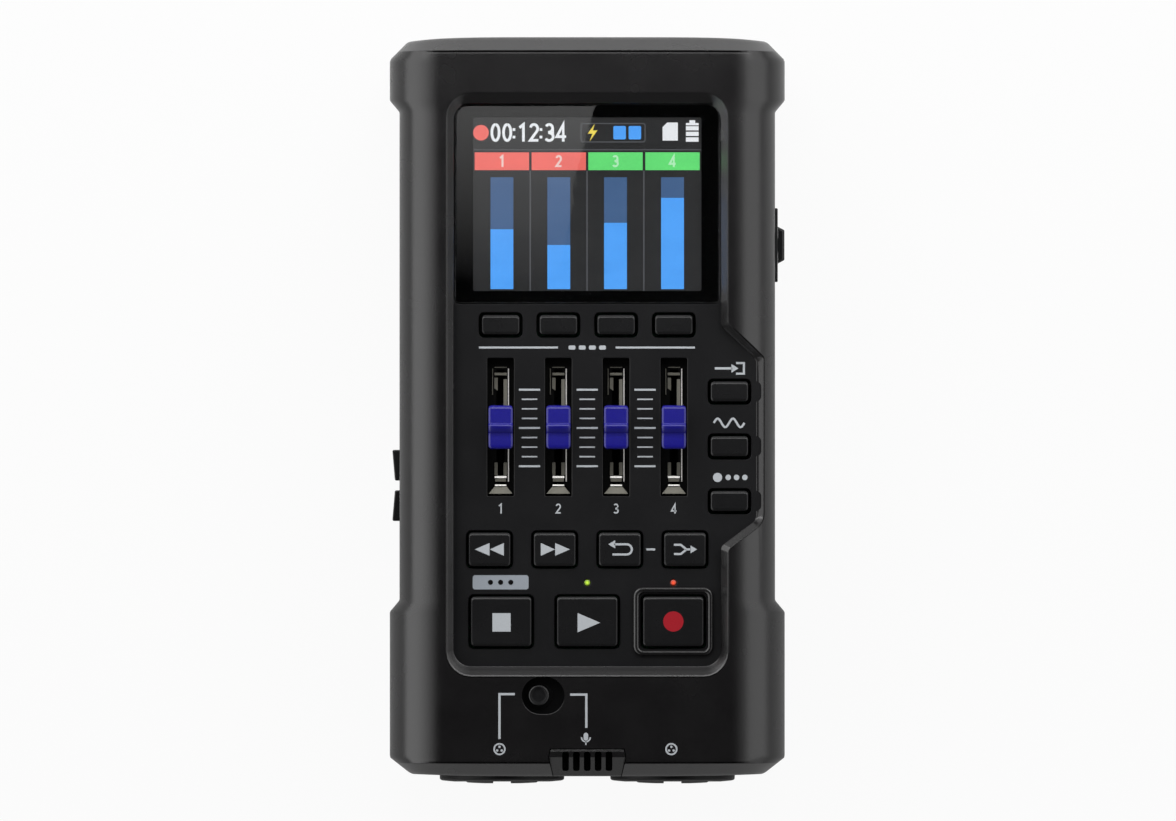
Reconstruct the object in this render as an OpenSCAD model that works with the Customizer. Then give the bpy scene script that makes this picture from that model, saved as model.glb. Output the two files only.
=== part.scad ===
// Digital multitrack recorder lying on its back. All sizes are millimetres.
// +Z points out of the control face, +Y to the display end and +X to the right of the controls.
// The origin lies under the middle of the part, on the surface that the feet stand on.

/* [Casing] */
// How far each bumper stands out from the waist
bumper_out = 2.1; // [1:0.1:3]
// Radius of the long front edges at the waist
front_round = 9.6; // [9:0.1:10.6]
// Radius of the long back edges at the waist
back_round = 6; // [4:0.5:7]
// Thickness of the casing walls
wall = 2; // [1.6:0.1:2.4]
// Depth of the rear shell, from the back face to the parting line
rear_depth = 22; // [20:0.5:28]
// Run of the front bevel at the display end
top_bevel = 3.15; // [2:0.05:4]
// Run of the front bevel at the jack end
bottom_bevel = 3.6; // [2:0.05:4]
// Depth of both front bevels
bevel_drop = 5.5; // [3:0.1:7]
// Size of the bevels at the back of both ends
back_bevel = 2.5; // [1:0.1:4]
// Corner cut in plan, across the width
corner_x = 4.5; // [2:0.1:6]
// Corner cut in plan, along the length
corner_y = 4.05; // [2:0.05:6]
// How far the display end bows out in plan
top_crown = 1.16; // [0.3:0.02:2]
// How far the jack end bows out in plan
bottom_crown = 0.54; // [0.3:0.02:1]
// Length of the bumper at the display end, with its ramp
top_bumper = 16.2; // [12:0.1:22]
// Length of the bumper at the jack end, with its ramp
bottom_bumper = 38.1; // [30:0.1:46]
// Length of the ramp between bumper and waist
bumper_ramp = 3.1; // [1.5:0.1:4]

/* [Control tray] */
// Depth of the tray under the front face
tray_depth = 3.6; // [3.4:0.1:5]
// Run of the tray's sloping walls at the long sides
tray_lip = 1.5; // [1:0.1:2]
// Run of the tray's sloping walls at the ends
tray_end_lip = 2.1; // [1:0.1:3]
// Corner radius of the tray floor at the jack end
tray_corner = 3.7; // [2:0.1:6]
// Size of the tray floor's corner cuts at the display end
tray_top_corner = 3; // [2:0.1:5]
// Distance from the display end of the casing to the tray floor
top_margin = 14.3; // [12:0.1:20]
// Distance from the tray floor to the jack end of the casing
jack_zone = 23.8; // [22.5:0.1:30]
// How far the bulge for the function keys widens the tray floor
bulge_out = 7.7; // [7:0.1:10]
// Distance from the bulge's floor edge to the waist
side_margin = 4.03; // [3.6:0.01:6]
// Room over the first function key, up to the bulge's corner
bulge_over = 4.2; // [2:0.1:8]
// Room under the last function key, down to the bulge's corner
bulge_under = 1.5; // [0.5:0.1:4]
// Length of the bulge's slanting end on the display's side
bulge_rise = 7.3; // [4:0.1:9]
// Length of the bulge's slanting end on the jacks' side
bulge_fall = 5.8; // [4:0.1:9]
// Thickness of the control panel
panel_t = 2.8; // [2.4:0.1:3.4]
// Width of the panel's rim behind the tray walls
panel_rim = 1; // [0.6:0.1:1.2]

/* [Display] */
// Width of the display window
window_w = 57.4; // [52:0.2:64]
// Length of the display window
window_h = 43.05; // [38:0.05:50]
// Radius of the window's corners at the display end
window_round = 2.8; // [1:0.1:5]
// Thickness of the display window
window_t = 1.6; // [1:0.1:1.8]
// How far the window lies under the tray floor
window_sink = 0.3; // [0.1:0.1:0.4]
// Gap round the window
window_gap = 0.2; // [0.1:0.05:0.3]
// Ledge that the window rests on
window_ledge = 2.4; // [1:0.1:4]
// Thickness of the display
lcd_t = 2.6; // [2:0.1:4]
// Margin from the window's edge to the display's edge
lcd_inset = 0.7; // [0.3:0.1:2]

/* [Keys] */
// Gap round every key in its opening
key_gap = 0.35; // [0.25:0.05:0.5]
// Travel of every key on the panel
key_travel = 0.6; // [0.3:0.1:0.8]
// Thickness of the keys' flanges
flange_t = 1; // [0.6:0.1:1.4]
// How far a flange reaches past its opening
flange_out = 0.8; // [0.5:0.1:1]
// Length of the stem under a flange
stem_l = 0.6; // [0.3:0.1:1]
// Width of a track key
track_key_w = 8.25; // [6:0.05:9]
// Length of a track key
track_key_l = 4.25; // [3:0.05:6]
// Width of a function key
function_key_w = 8.2; // [6:0.1:9]
// Length of a function key
function_key_l = 4.4; // [3:0.1:6]
// Distance between function keys
function_pitch = 11.85; // [10:0.05:14]
// How far the middle function key lies below the middle of the faders
function_drop = 4.12; // [2:0.02:6]
// Rise of the track and function keys over the panel
low_rise = 0.7; // [0.4:0.1:1.5]
// Width of a locating key
locate_key_w = 9.14; // [7:0.02:11]
// Length of a locating key
locate_key_l = 7.3; // [5:0.1:9]
// Distance between locating keys
locate_pitch = 14.1; // [13.6:0.1:15]
// Width of a transport key
transport_key_w = 13.2; // [11:0.1:14.5]
// Length of a transport key
transport_key_l = 10.8; // [8:0.1:13]
// Distance between transport keys
transport_pitch = 18.63; // [17.8:0.01:20]
// Rise of the locating and transport keys over the panel
high_rise = 1.1; // [0.6:0.1:2]
// Gap between the record key's opening and its guard
guard_gap = 0.5; // [0.3:0.1:0.8]
// Width of the record key's guard
guard_w = 1.2; // [0.8:0.1:1.6]
// Rise of the record key's guard over the panel
guard_rise = 1; // [0.5:0.1:2]
// Edge bevel of the keys
key_bevel = 0.4; // [0.2:0.1:0.6]

/* [Key rows] */
// Space between the window and the track keys' openings
window_to_track = 2.2; // [1.5:0.05:5]
// Space between the track keys' openings and the fader slots
track_to_fader = 4.75; // [4.2:0.05:8]
// Space between the fader slots and the locating keys' openings
fader_to_locate = 7.5; // [7:0.1:10]
// Space between the locating and the transport keys' openings
locate_to_transport = 5.85; // [5.6:0.05:8]
// Space between the transport keys' openings and the end of the tray floor
transport_to_end = 3.95; // [3:0.05:6]
// Least space between a row and the long side of the tray floor
row_side_room = 1.3; // [0.8:0.1:2]

/* [Faders] */
// Distance between faders
fader_pitch = 12.5; // [11.4:0.1:14]
// Travel of a fader from end to end
fader_travel = 20; // [14:0.5:26]
// Width of a fader cap
cap_w = 5.3; // [4.5:0.1:6]
// Length of a fader cap
cap_l = 9.5; // [7:0.1:11]
// Height of a fader cap's ridge over the panel
cap_rise = 5.4; // [4:0.1:8]
// How far a fader cap reaches into its slot
cap_sink = 1.6; // [1:0.1:2]
// Gap between a cap and the side of its slot
cap_side_gap = 0.23; // [0.15:0.01:0.4]
// Gap between a cap and the end of its slot at full travel
cap_end_gap = 0.2; // [0.15:0.05:0.4]
// Width of a fader housing
fader_w = 8.2; // [7.4:0.1:9]
// Height of a fader housing
fader_h = 6.5; // [5:0.1:8]
// How far a housing reaches past each end of its slot
fader_over = 2.05; // [1.5:0.05:3]
// Sheet thickness of a fader housing
fader_sheet = 0.6; // [0.4:0.1:0.8]
// Gap between the housings and the panel
fader_gap = 0.2; // [0.1:0.05:0.4]
// Thickness of a fader lever's tongue
tongue_t = 1; // [0.8:0.1:1.4]
// Length of a fader lever's tongue
tongue_l = 4; // [3:0.1:6]

/* [Side controls] */
// Space between the middle screws' bosses and the power switch
power_space = 9.94; // [8:0.02:14]
// Length of the power switch's body
power_switch_l = 13; // [12:0.1:15]
// Depth of the power switch's body from the board's edge
power_switch_in = 4; // [3:0.1:6]
// Length of the power slider's plate
power_plate_l = 16; // [15.6:0.1:20]
// Height of the power slider's plate
power_plate_h = 5.6; // [5:0.1:6]
// Thickness of the power slider's plate
power_plate_t = 0.6; // [0.4:0.1:1]
// Length of the power knob at its foot
power_knob_l = 8; // [7:0.1:9]
// Reach of the power knob from the waist
power_knob_out = 2.04; // [1.4:0.02:2.1]
// Height of the power knob
power_knob_h = 4.2; // [3.6:0.1:4.6]
// How far the power knob's ends draw in
power_knob_draw = 0.92; // [0.4:0.02:1.4]
// Length of the power knob's stem
power_stem_l = 3; // [2.4:0.1:4]
// Height of the power knob's stem
power_stem_h = 2.2; // [1.6:0.1:2.6]
// Gap round the power knob's stem
power_gap = 0.3; // [0.2:0.05:0.4]
// Travel of the power knob each way
power_travel = 3.5; // [2:0.1:3.6]
// Distance from the middle screws' bosses to the volume keys
volume_down = 21.86; // [16:0.02:24]
// Length of a volume key
volume_l = 6.65; // [5:0.05:8]
// Space between the volume keys
volume_space = 2.1; // [1.9:0.1:4]
// Reach of a volume key at its outer end
volume_out = 1.56; // [1.1:0.02:2]
// Reach of a volume key at its inner end
volume_in = 1; // [0.6:0.05:1.5]
// Height of the side controls
side_h = 4.6; // [3.6:0.1:5]
// Travel of a volume key
volume_travel = 0.45; // [0.2:0.05:0.6]

/* [Selector] */
// Place of the selector well across the width
selector_x = -9.54; // [-11:0.02:-8]
// Distance of the selector well from the jack end
selector_up = 17.5; // [16:0.1:18]
// Length of the selector well
well_w = 9.16; // [8.6:0.02:11]
// Width of the selector well
well_l = 8; // [7:0.1:9]
// Depth of the selector well
well_depth = 2.6; // [2:0.1:2.8]
// Diameter of the selector knob
knob_d = 4.4; // [3.6:0.1:5]
// Travel of the selector knob
knob_travel = 1.9; // [1:0.1:2.2]

/* [Jacks and microphone] */
// Distance between the jacks
jack_pitch = 36.9; // [35:0.1:38]
// Diameter of a jack's collar
collar_d = 27; // [26:0.1:28]
// Reach of a jack's crown past the casing
jack_out = 1.6; // [1:0.1:2.4]
// Fall of a collar's face from its crown to its edge
collar_fall = 1.1; // [0.4:0.1:1.1]
// Diameter of a jack's housing
jack_d = 23.6; // [23:0.1:24.4]
// Depth of a jack inside the casing
jack_depth = 25; // [24.5:0.1:28]
// Diameter of a jack's mouth
mouth_d = 19.4; // [18.6:0.1:20]
// Diameter of a jack's insert
insert_d = 15.6; // [15:0.1:16]
// Radius of the bore for a large plug
plug_r = 3.3; // [3.2:0.05:3.4]
// Depth of the bore for a large plug
plug_depth = 21; // [16:0.5:22]
// Width of the groove across an insert
groove_w = 3.8; // [2:0.1:4]
// Width of the microphone grille
grille_w = 16.8; // [14:0.1:17]
// Distance of the grille's inner edge from the jack end
grille_up = 5.85; // [5:0.05:7]
// How far the grille's sides draw in
grille_taper = 1.2; // [0:0.1:2]
// Width of a grille slot
grille_slot = 1.5; // [0.8:0.1:1.8]
// Distance between grille slots
grille_pitch = 2.37; // [2:0.01:2.6]

/* [Ports] */
// Space between the middle screws' bosses and the headphone jack
phones_space = 7; // [4:0.5:14]
// Width of the headphone jack's body
phones_w = 7; // [6.2:0.1:9]
// Depth of the headphone jack's body
phones_depth = 12; // [11:0.5:15]
// Radius of the headphone jack's bore
phones_r = 1.8; // [1.75:0.05:1.85]
// Space between the middle screws' bosses and the USB socket
usb_space = 1.2; // [0.8:0.1:4]
// Width of the USB socket
usb_w = 8.94; // [8.9:0.01:9]
// Height of the USB socket
usb_h = 3.26; // [3.2:0.01:3.3]
// Space between the USB socket and the card slot
card_space = 10; // [4:0.5:14]
// Depth of the card slot's socket
card_depth = 15; // [12:0.5:18]
// Thickness of the card slot's walls
card_wall = 1.2; // [1:0.1:1.6]
// Height of the card slot
card_h = 1.4; // [1:0.1:1.6]
// Width of the card slot
card_w = 12; // [11:0.1:14]

/* [Power cells and back] */
// Diameter of a cell
cell_d = 14.2; // [13.5:0.1:14.6]
// Length of a cell
cell_l = 50; // [48:0.1:52]
// Space between cells
cell_gap = 0.5; // [0.3:0.1:0.8]
// Room for the contacts at each end of the cells
contact_room = 2.2; // [1.8:0.1:3]
// Thickness of the bay's walls
bay_wall = 1.4; // [1.2:0.1:2]
// Space between the jacks and the bay
bay_space = 7.2; // [6.6:0.1:10]
// Thickness of the cell cover
cover_t = 1.6; // [1.2:0.1:1.8]
// Gap round the cell cover
cover_gap = 0.2; // [0.1:0.05:0.4]
// Diameter of the speaker
speaker_d = 27; // [22:0.5:30]
// Space between the bay and the middle screws' bosses
boss_space = 4.5; // [3:0.1:8]
// Diameter of the rubber feet
foot_d = 9; // [6:0.5:11]
// Height of the rubber feet under the casing
foot_h = 1; // [0.6:0.1:2]
// Distance of the feet from the ends of the casing
foot_inset = 10.5; // [9:0.5:13]

/* [Inside] */
// Room between the main board and the parting line
under_board = 8.5; // [8:0.1:12]
// Thickness of the boards
board_t = 1.6; // [1.2:0.1:2]
// Radius of the casing screws' bosses
boss_r = 3; // [2.8:0.1:3.4]
// Radius of the casing screws' shanks
screw_r = 1.15; // [1:0.05:1.3]
// Radius of the panel's posts for the board screws
post_r = 1.7; // [1.5:0.05:1.75]

/* [Hidden] */
$fn = 48;
far = 200;
skin = 0.05;

// Vertical stack, from the feet up
back_z = foot_h;
part_z = back_z + rear_depth;
board_low = part_z + under_board;
board_z = board_low + board_t;
fader_top = board_z + fader_h;
panel_z = fader_top + fader_gap;
floor_z = panel_z + panel_t;
front_z = floor_z + tray_depth;
side_z = board_low - side_h / 2 - 0.3;

// Openings and rows down the tray, from the display end
track_hole_l = track_key_l + 2 * key_gap;
locate_hole_l = locate_key_l + 2 * key_gap;
transport_hole_l = transport_key_l + 2 * key_gap;
slot_w = cap_w + 2 * cap_side_gap;
slot_l = fader_travel + cap_l + 2 * cap_end_gap;
tray_l = window_gap + window_h + window_to_track + track_hole_l + track_to_fader + slot_l
    + fader_to_locate + locate_hole_l + locate_to_transport + transport_hole_l + transport_to_end;
body_l = top_margin + tray_l + jack_zone;
total_l = body_l + jack_out;
y1 = total_l / 2;
y0 = y1 - body_l;
floor_y1 = y1 - top_margin;
floor_y0 = floor_y1 - tray_l;
window_y = floor_y1 - window_gap - window_h / 2;
track_y = window_y - window_h / 2 - window_to_track - track_hole_l / 2;
fader_y = track_y - track_hole_l / 2 - track_to_fader - slot_l / 2;
locate_y = fader_y - slot_l / 2 - fader_to_locate - locate_hole_l / 2;
transport_y = locate_y - locate_hole_l / 2 - locate_to_transport - transport_hole_l / 2;
function_y = fader_y - function_drop;
lamp_y = locate_y - locate_hole_l / 2 - locate_to_transport * 0.55;

// Widths, from the widest row out to the bumpers
guard_in_w = transport_key_w + 2 * (key_gap + guard_gap);
guard_in_l = transport_key_l + 2 * (key_gap + guard_gap);
row_half = max(1.5 * fader_pitch + slot_w / 2,
    1.5 * locate_pitch + locate_key_w / 2 + key_gap,
    transport_pitch + guard_in_w / 2 + guard_w);
floor_half = max(window_w / 2 + window_gap, row_half + row_side_room);
bulge_x = floor_half + bulge_out;
half_w = bulge_x + side_margin;
wide_w = half_w + bumper_out;
wide_round = front_round + bumper_out;
function_x = bulge_x - side_margin - 1.8;
bulge_y1 = function_y + function_pitch + function_key_l / 2 + key_gap + bulge_over;
bulge_y0 = function_y - function_pitch - function_key_l / 2 - key_gap - bulge_under;
inner_x = half_w - wall;
window_z = floor_z - window_sink - window_t;
join = 0.5;

// Height of the waist's surface at the outer edge of the bulge's lip
lip_reach = bulge_x + tray_lip - (half_w - front_round);
lip_z = max(floor_z + 0.4, front_z - front_round + sqrt(front_round ^ 2 - min(lip_reach, front_round) ^ 2));

// Keys: flanges lie just under the panel, stems over their switches
flange_top = panel_z - skin;
flange_low = flange_top - flange_t;
stem_low = flange_low - stem_l;
switch_top = stem_low - key_travel - 2 * skin;
switch_w = 4.4;
switch_body = 3;
plunger_r = 1.2;
socket_l = 3;
stem_r = 1.5;

// Jacks
jack_z = part_z;
jack_x = jack_pitch / 2;
collar_r = collar_d / 2;
dome_r = (collar_r ^ 2 + collar_fall ^ 2) / (2 * collar_fall);
crown_y = y0 - jack_out;
seat_y = y0 + 0.6;
mouth_depth = 14;
jack_end = y0 + jack_depth;
tail_gap = 0.05;
pin_r = 0.6;

// Jack board over the jacks, and the selector over the board
jack_board_z = jack_z + jack_d / 2 + 0.3;
jack_board_top = jack_board_z + board_t;
jack_board_y0 = y0 + wall + 1;
jack_board_y1 = floor_y0 - panel_rim - 0.5;
jack_board_half = jack_x + 9;
selector_y = y0 + selector_up;
well_z = front_z - well_depth;
well_floor = 1.2;
selector_top = well_z - well_floor - 0.2;
knob_x = selector_x - knob_travel / 2;
knob_low = well_z + 0.3;
knob_top = front_z - 0.3;
knob_stem = 1.6;
selector_slot = knob_stem + knob_travel + 2 * power_gap;
selector_l = knob_stem + 2 * power_gap + 2.8;
selector_w = selector_slot + 4.9;

// Microphone
mic_r = 3;
mic_h = 4.4;
mic_y = y0 + wall + mic_r + 0.6;
mic_gap = 0.12;
grille_low = jack_board_top + 0.4;

// Cells and their bay
bay_w = 4 * cell_d + 5 * cell_gap;
bay_l = cell_l + 2 * contact_room;
bay_y0 = jack_end + bay_space;
bay_y = bay_y0 + bay_l / 2;
cell_z = back_z + cover_t + 0.4 + cell_d / 2;
bay_top = cell_z + cell_d / 2 + 0.4;
bay_ledge = bay_wall - 0.4;
cell_pitch = cell_d + cell_gap;
nub_r = 2.7;
nub_l = 1.4;
contact_t = 0.5;
contact_w = 9;

// Speaker
speaker_y = bay_y0 + bay_l + bay_wall + 5 + speaker_d / 2;
speaker_h = 3;
magnet_h = 4;
grille_hole = 0.8;

// Screws: a row at each end of the main board and one over the bay
boss_x = half_w - back_round - boss_r - 0.3;
middle_y = bay_y0 + bay_l + bay_wall + boss_space + boss_r;
boss_rows = [floor_y1 - boss_r - boss_space / 3, middle_y, jack_end + boss_r];
boss_h = under_board - 1.5;
head_r = 2.3;
head_h = 1.8;
head_sink = 6;

// Main board and its screws into the panel's posts
board_half = max(function_x + switch_w / 2 + 1.4, floor_half);
board_y1 = floor_y1 - 0.5;
board_y0 = transport_y - transport_hole_l / 2 - 1.4;
post_x = floor_half - post_r - 0.2;
post_high_y = fader_y + slot_l / 2 + track_to_fader / 2;
post_low_y = fader_y - slot_l / 2 - fader_to_locate / 2;
post_mid_y = locate_y - locate_hole_l / 2 - locate_to_transport / 2;
post_mid_x = transport_pitch / 2;
posts = [[-post_x, post_high_y], [post_x, post_high_y], [-post_x, post_low_y],
    [-post_mid_x, post_mid_y], [post_mid_x, post_mid_y]];
post_screw_r = 0.9;
post_screw_l = 4;

// Side parts under the main board
side_inner = inner_x - 0.3;
side_low = board_low - side_h - 0.6;
stem_sink = 1.1;
power_y = middle_y + boss_r + power_space + power_switch_l / 2;
power_slot_l = power_stem_l + 2 * (power_travel + power_gap);
power_slot_h = power_stem_h + 2 * power_gap;
volume_y = middle_y - boss_r - volume_down - volume_l - volume_space / 2;
volume_hole_l = volume_l + 2 * key_gap;
volume_flange_t = 1;
volume_reach = volume_flange_t + volume_travel + 0.1;

// Ports
port_z = side_z;
phones_y = middle_y + boss_r + phones_space + phones_w / 2;
phones_nose_r = phones_r + 0.9;
usb_y = middle_y - boss_r - usb_space - usb_w / 2;
card_y = usb_y - usb_w / 2 - card_space - card_w / 2 - card_wall;
port_gap = 0.25;

// Places of the keys, in the order of their names
track_keys = [for (i = [0:3]) [(i - 1.5) * fader_pitch, track_y]];
function_keys = [for (i = [1:-1:-1]) [function_x, function_y + i * function_pitch]];
locate_keys = [for (i = [0:3]) [(i - 1.5) * locate_pitch, locate_y]];
transport_keys = [for (i = [-1:1]) [i * transport_pitch, transport_y]];
panel_keys = concat(track_keys, function_keys, locate_keys, transport_keys);
boss_places = [for (y = boss_rows) for (x = [-boss_x, boss_x]) [x, y]];

function fader_x(i) = (i - 1.5) * fader_pitch;
function volume_mid(s) = volume_y + s * (volume_space + volume_l) / 2;

// Run of a bevel a by b that is moved inwards by d
function inset(a, b, d) = a - d + d * (sqrt(a ^ 2 + b ^ 2) - a) / b;
// Radius of an arc that bows by c over a half width of a
function bow(a, c) = (a ^ 2 + c ^ 2) / (2 * c);

// Outline drawn in X and Z, extruded along Y
module along_y(from, to) {
    translate([0, to, 0]) rotate([90, 0, 0]) linear_extrude(to - from) children();
}

// Outline drawn in Y and Z, extruded along X
module along_x(from, to) {
    translate([from, 0, 0]) rotate([90, 0, 90]) linear_extrude(to - from) children();
}

// Outline drawn in X and Y, extruded along Z
module along_z(from, to) {
    translate([0, 0, from]) linear_extrude(to - from) children();
}

// Box between two corners
module block(low, high) {
    translate(low) cube(high - low);
}

// Rectangle with round corners
module rounded(w, l, r) {
    square([w - 2 * r, l], center = true);
    square([w, l - 2 * r], center = true);
    for (x = [-1, 1], y = [-1, 1]) {
        translate([x * (w / 2 - r), y * (l / 2 - r)]) circle(r);
    }
}

// Block with round corners and bevelled top edges
module bevelled(w, l, z0, z1, r, c) {
    intersection() {
        along_z(z0, z1) rounded(w, l, r);
        along_y(-l, l) bevel_side(w, z0, z1, c);
        along_x(-w, w) bevel_side(l, z0, z1, c);
    }
}

module bevel_side(w, z0, z1, c) {
    polygon([[-w / 2, z0], [w / 2, z0], [w / 2, z1 - c], [w / 2 - c, z1], [-w / 2 + c, z1], [-w / 2, z1 - c]]);
}

// Cross-section of the casing
module section(half, front_r, back_r, d) {
    low = back_z + d;
    high = front_z - d;
    x = half - d;
    rf = front_r - d;
    rb = back_r - d;
    polygon([[-x, low + rb], [-x + rb, low], [x - rb, low], [x, low + rb],
        [x, high - rf], [x - rf, high], [-x + rf, high], [-x, high - rf]]);
    for (s = [-1, 1]) {
        translate([s * (x - rf), high - rf]) circle(rf);
        translate([s * (x - rb), low + rb]) circle(rb);
    }
}

// Length of the casing seen from the side, with its bevelled ends
module side_outline(d) {
    back = inset(back_bevel, back_bevel, d);
    low = back_z + d;
    high = front_z - d;
    polygon([[y0 + d, low + back], [y0 + d + back, low], [y1 - d - back, low], [y1 - d, low + back],
        [y1 - d, high - inset(bevel_drop, top_bevel, d)], [y1 - d - inset(top_bevel, bevel_drop, d), high],
        [y0 + d + inset(bottom_bevel, bevel_drop, d), high],
        [y0 + d, high - inset(bevel_drop, bottom_bevel, d)]]);
}

// Plan of the casing at its full width, with cut corners and bowed ends
module plan_outline(d) {
    x = wide_w - d;
    cut_x = inset(corner_x, corner_y, d);
    cut_y = inset(corner_y, corner_x, d);
    top_in = cut_x * top_crown / cut_y;
    bottom_in = cut_x * bottom_crown / cut_y;
    top_r = bow(wide_w - corner_x, top_crown);
    bottom_r = bow(wide_w - corner_x, bottom_crown);
    intersection() {
        polygon([[x, y1 - d - top_crown - cut_y], [x - cut_x - top_in, y1 - d],
            [-x + cut_x + top_in, y1 - d], [-x, y1 - d - top_crown - cut_y],
            [-x, y0 + d + bottom_crown + cut_y], [-x + cut_x + bottom_in, y0 + d],
            [x - cut_x - bottom_in, y0 + d], [x, y0 + d + bottom_crown + cut_y]]);
        translate([0, y1 - top_r]) circle(top_r - d, $fn = 360);
        translate([0, y0 + bottom_r]) circle(bottom_r - d, $fn = 360);
    }
}

// Plan of one bumper, from the waist's edge y at its ramp to the end of the casing
module bumper_plan(y, end, s) {
    polygon([[half_w, y], [wide_w, y + s * bumper_ramp], [wide_w, end],
        [-wide_w, end], [-wide_w, y + s * bumper_ramp], [-half_w, y]]);
}

// Outside of the whole casing
module casing_form() {
    intersection() {
        union() {
            along_y(y0, y1) section(half_w, front_round, back_round, 0);
            bumper(y1 - top_bumper, y1, 1);
            bumper(y0 + bottom_bumper, y0, -1);
        }
        along_z(0, far) plan_outline(0);
        along_x(-far, far) side_outline(0);
    }
}

module bumper(y, end, s) {
    intersection() {
        along_y(min(y, end), max(y, end)) section(wide_w, wide_round, back_round + bumper_out, 0);
        along_z(0, far) bumper_plan(y, end, s);
    }
}

// Space inside the casing
module cavity() {
    intersection() {
        along_y(y0, y1) section(half_w, front_round, back_round, wall);
        along_z(0, far) plan_outline(wall);
        along_x(-far, far) side_outline(wall);
    }
}

// Plan of the tray floor without its bulge, grown by g at the sides and e at the ends
module floor_plan(g, e) {
    r = tray_corner + g;
    x = floor_half + g;
    low = floor_y0 - e;
    high = floor_y1 + e;
    cut_x = 0.65 * (tray_top_corner + 1.5 * g);
    cut_y = 0.8 * (tray_top_corner + 1.5 * g);
    polygon([[-x, low + r], [-x + r, low], [x - r, low], [x, low + r],
        [x, high - cut_y], [x - cut_x, high], [-x + cut_x, high], [-x, high - cut_y]]);
    for (s = [-1, 1]) translate([s * (x - r), low + r]) circle(r);
}

// Plan of the bulge for the function keys, grown by g
module bulge_plan(g) {
    x = bulge_x + g;
    k = 0.4 * g;
    polygon([[0, bulge_y1 + bulge_rise + k], [floor_half + g, bulge_y1 + bulge_rise + k], [x, bulge_y1 + k],
        [x, bulge_y0 - k], [floor_half + g, bulge_y0 - bulge_fall - k], [0, bulge_y0 - bulge_fall - k]]);
}

module tray_plan(g) {
    floor_plan(g, g);
    bulge_plan(g);
}

// The tray's hollow: sloping walls from the floor up to the lip
module tray_hollow() {
    hull() {
        along_z(floor_z, floor_z + skin) floor_plan(0, 0);
        along_z(front_z, front_z + 1) floor_plan(tray_lip, tray_end_lip);
    }
    hull() {
        along_z(floor_z, floor_z + skin) bulge_plan(0);
        along_z(lip_z, front_z + 1) bulge_plan(tray_lip);
    }
}

// Round hole along Y for a jack's housing, with a flat seat for its collar
module jack_hole(x) {
    translate([x, y0 - 1, jack_z]) rotate([-90, 0, 0]) {
        cylinder(r = jack_d / 2 + 0.15, h = wall + 3);
        cylinder(r = collar_r + 0.2, h = seat_y - y0 + 1);
    }
}

module jack_holes() {
    for (x = [-jack_x, jack_x]) jack_hole(x);
}

// Round-ended hole through a side wall, s = -1 for the left side
module side_hole(s, y, z, l, h, r) {
    translate([0, y, z]) along_x(s < 0 ? -half_w - 3 : inner_x - 3, s < 0 ? -inner_x + 3 : half_w + 3)
        rounded(l, h, r);
}

// Oval of the selector's well
module well_plan(g) {
    r = well_l / 2 + g;
    s = (well_w - well_l) / 2;
    square([2 * s, 2 * r], center = true);
    for (x = [-s, s]) translate([x, 0]) circle(r);
}

// Wedge that the microphone grille is cut from
module grille_wedge(g) {
    x = grille_w / 2 + g;
    along_z(grille_low - g, far) polygon([[-x, y0 + grille_up + g], [x, y0 + grille_up + g],
        [x - grille_taper, y0 - 1], [-x + grille_taper, y0 - 1]]);
}

module front_boss(p) {
    translate([p[0], p[1], part_z]) {
        cylinder(r = boss_r, h = boss_h);
        s = sign(p[0]);
        wide = inner_x - boss_x + 0.6;
        translate([s < 0 ? -wide : 0, -1, 0]) cube([wide, 2, boss_h]);
    }
}

module front_casing() {
    color([0.2, 0.2, 0.21]) difference() {
        union() {
            intersection() {
                difference() {
                    casing_form();
                    cavity();
                }
                block([-far, -far, part_z], [far, far, far]);
            }
            intersection() {
                casing_form();
                along_z(floor_z, front_z) tray_plan(tray_lip + 1.2);
            }
            translate([selector_x, selector_y])
                along_z(well_z - well_floor, front_z - wall / 2) well_plan(well_floor);
            for (p = boss_places) front_boss(p);
        }
        tray_hollow();
        along_z(part_z + boss_h, floor_z) tray_plan(panel_rim + 0.1);
        translate([selector_x, selector_y]) {
            along_z(well_z, front_z + 1) well_plan(0);
            along_z(well_z - 2 * well_floor, well_z + 1)
                square([selector_slot, knob_stem + 2 * power_gap], center = true);
        }
        grille_wedge(mic_gap);
        jack_holes();
        side_hole(1, power_y, side_z, power_slot_l, power_slot_h, 0.6);
        for (s = [-1, 1]) side_hole(-1, volume_mid(s), side_z, volume_hole_l, side_h + 2 * key_gap, 0.6);
        side_hole(1, usb_y, port_z, usb_w + 2 * port_gap, usb_h + 2 * port_gap, 1.7);
        side_hole(1, card_y, port_z, card_w + 2 * port_gap, card_h + 2 * port_gap, 0.5);
        translate([-half_w - 1, phones_y, port_z]) rotate([0, 90, 0])
            cylinder(r = phones_nose_r + 0.2, h = wall + 2);
        for (p = boss_places) translate([p[0], p[1], part_z - 1])
            cylinder(r = screw_r + 0.05, h = boss_h - 0.5);
    }
}

module speaker_holes() {
    for (ring = [0:3], i = [0:max(0, 6 * ring - 1)]) {
        a = ring == 0 ? 0 : i * 60 / ring;
        r = ring * speaker_d / 8;
        translate([r * cos(a), speaker_y + r * sin(a), back_z - 1]) cylinder(r = grille_hole, h = wall + 2);
    }
}

module feet_at(z, h, r) {
    for (x = [-1, 1], y = [y0 + foot_inset, y1 - foot_inset]) {
        translate([x * (half_w - back_round - foot_d / 2 - 2), y, z]) cylinder(r = r, h = h);
    }
}

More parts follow.
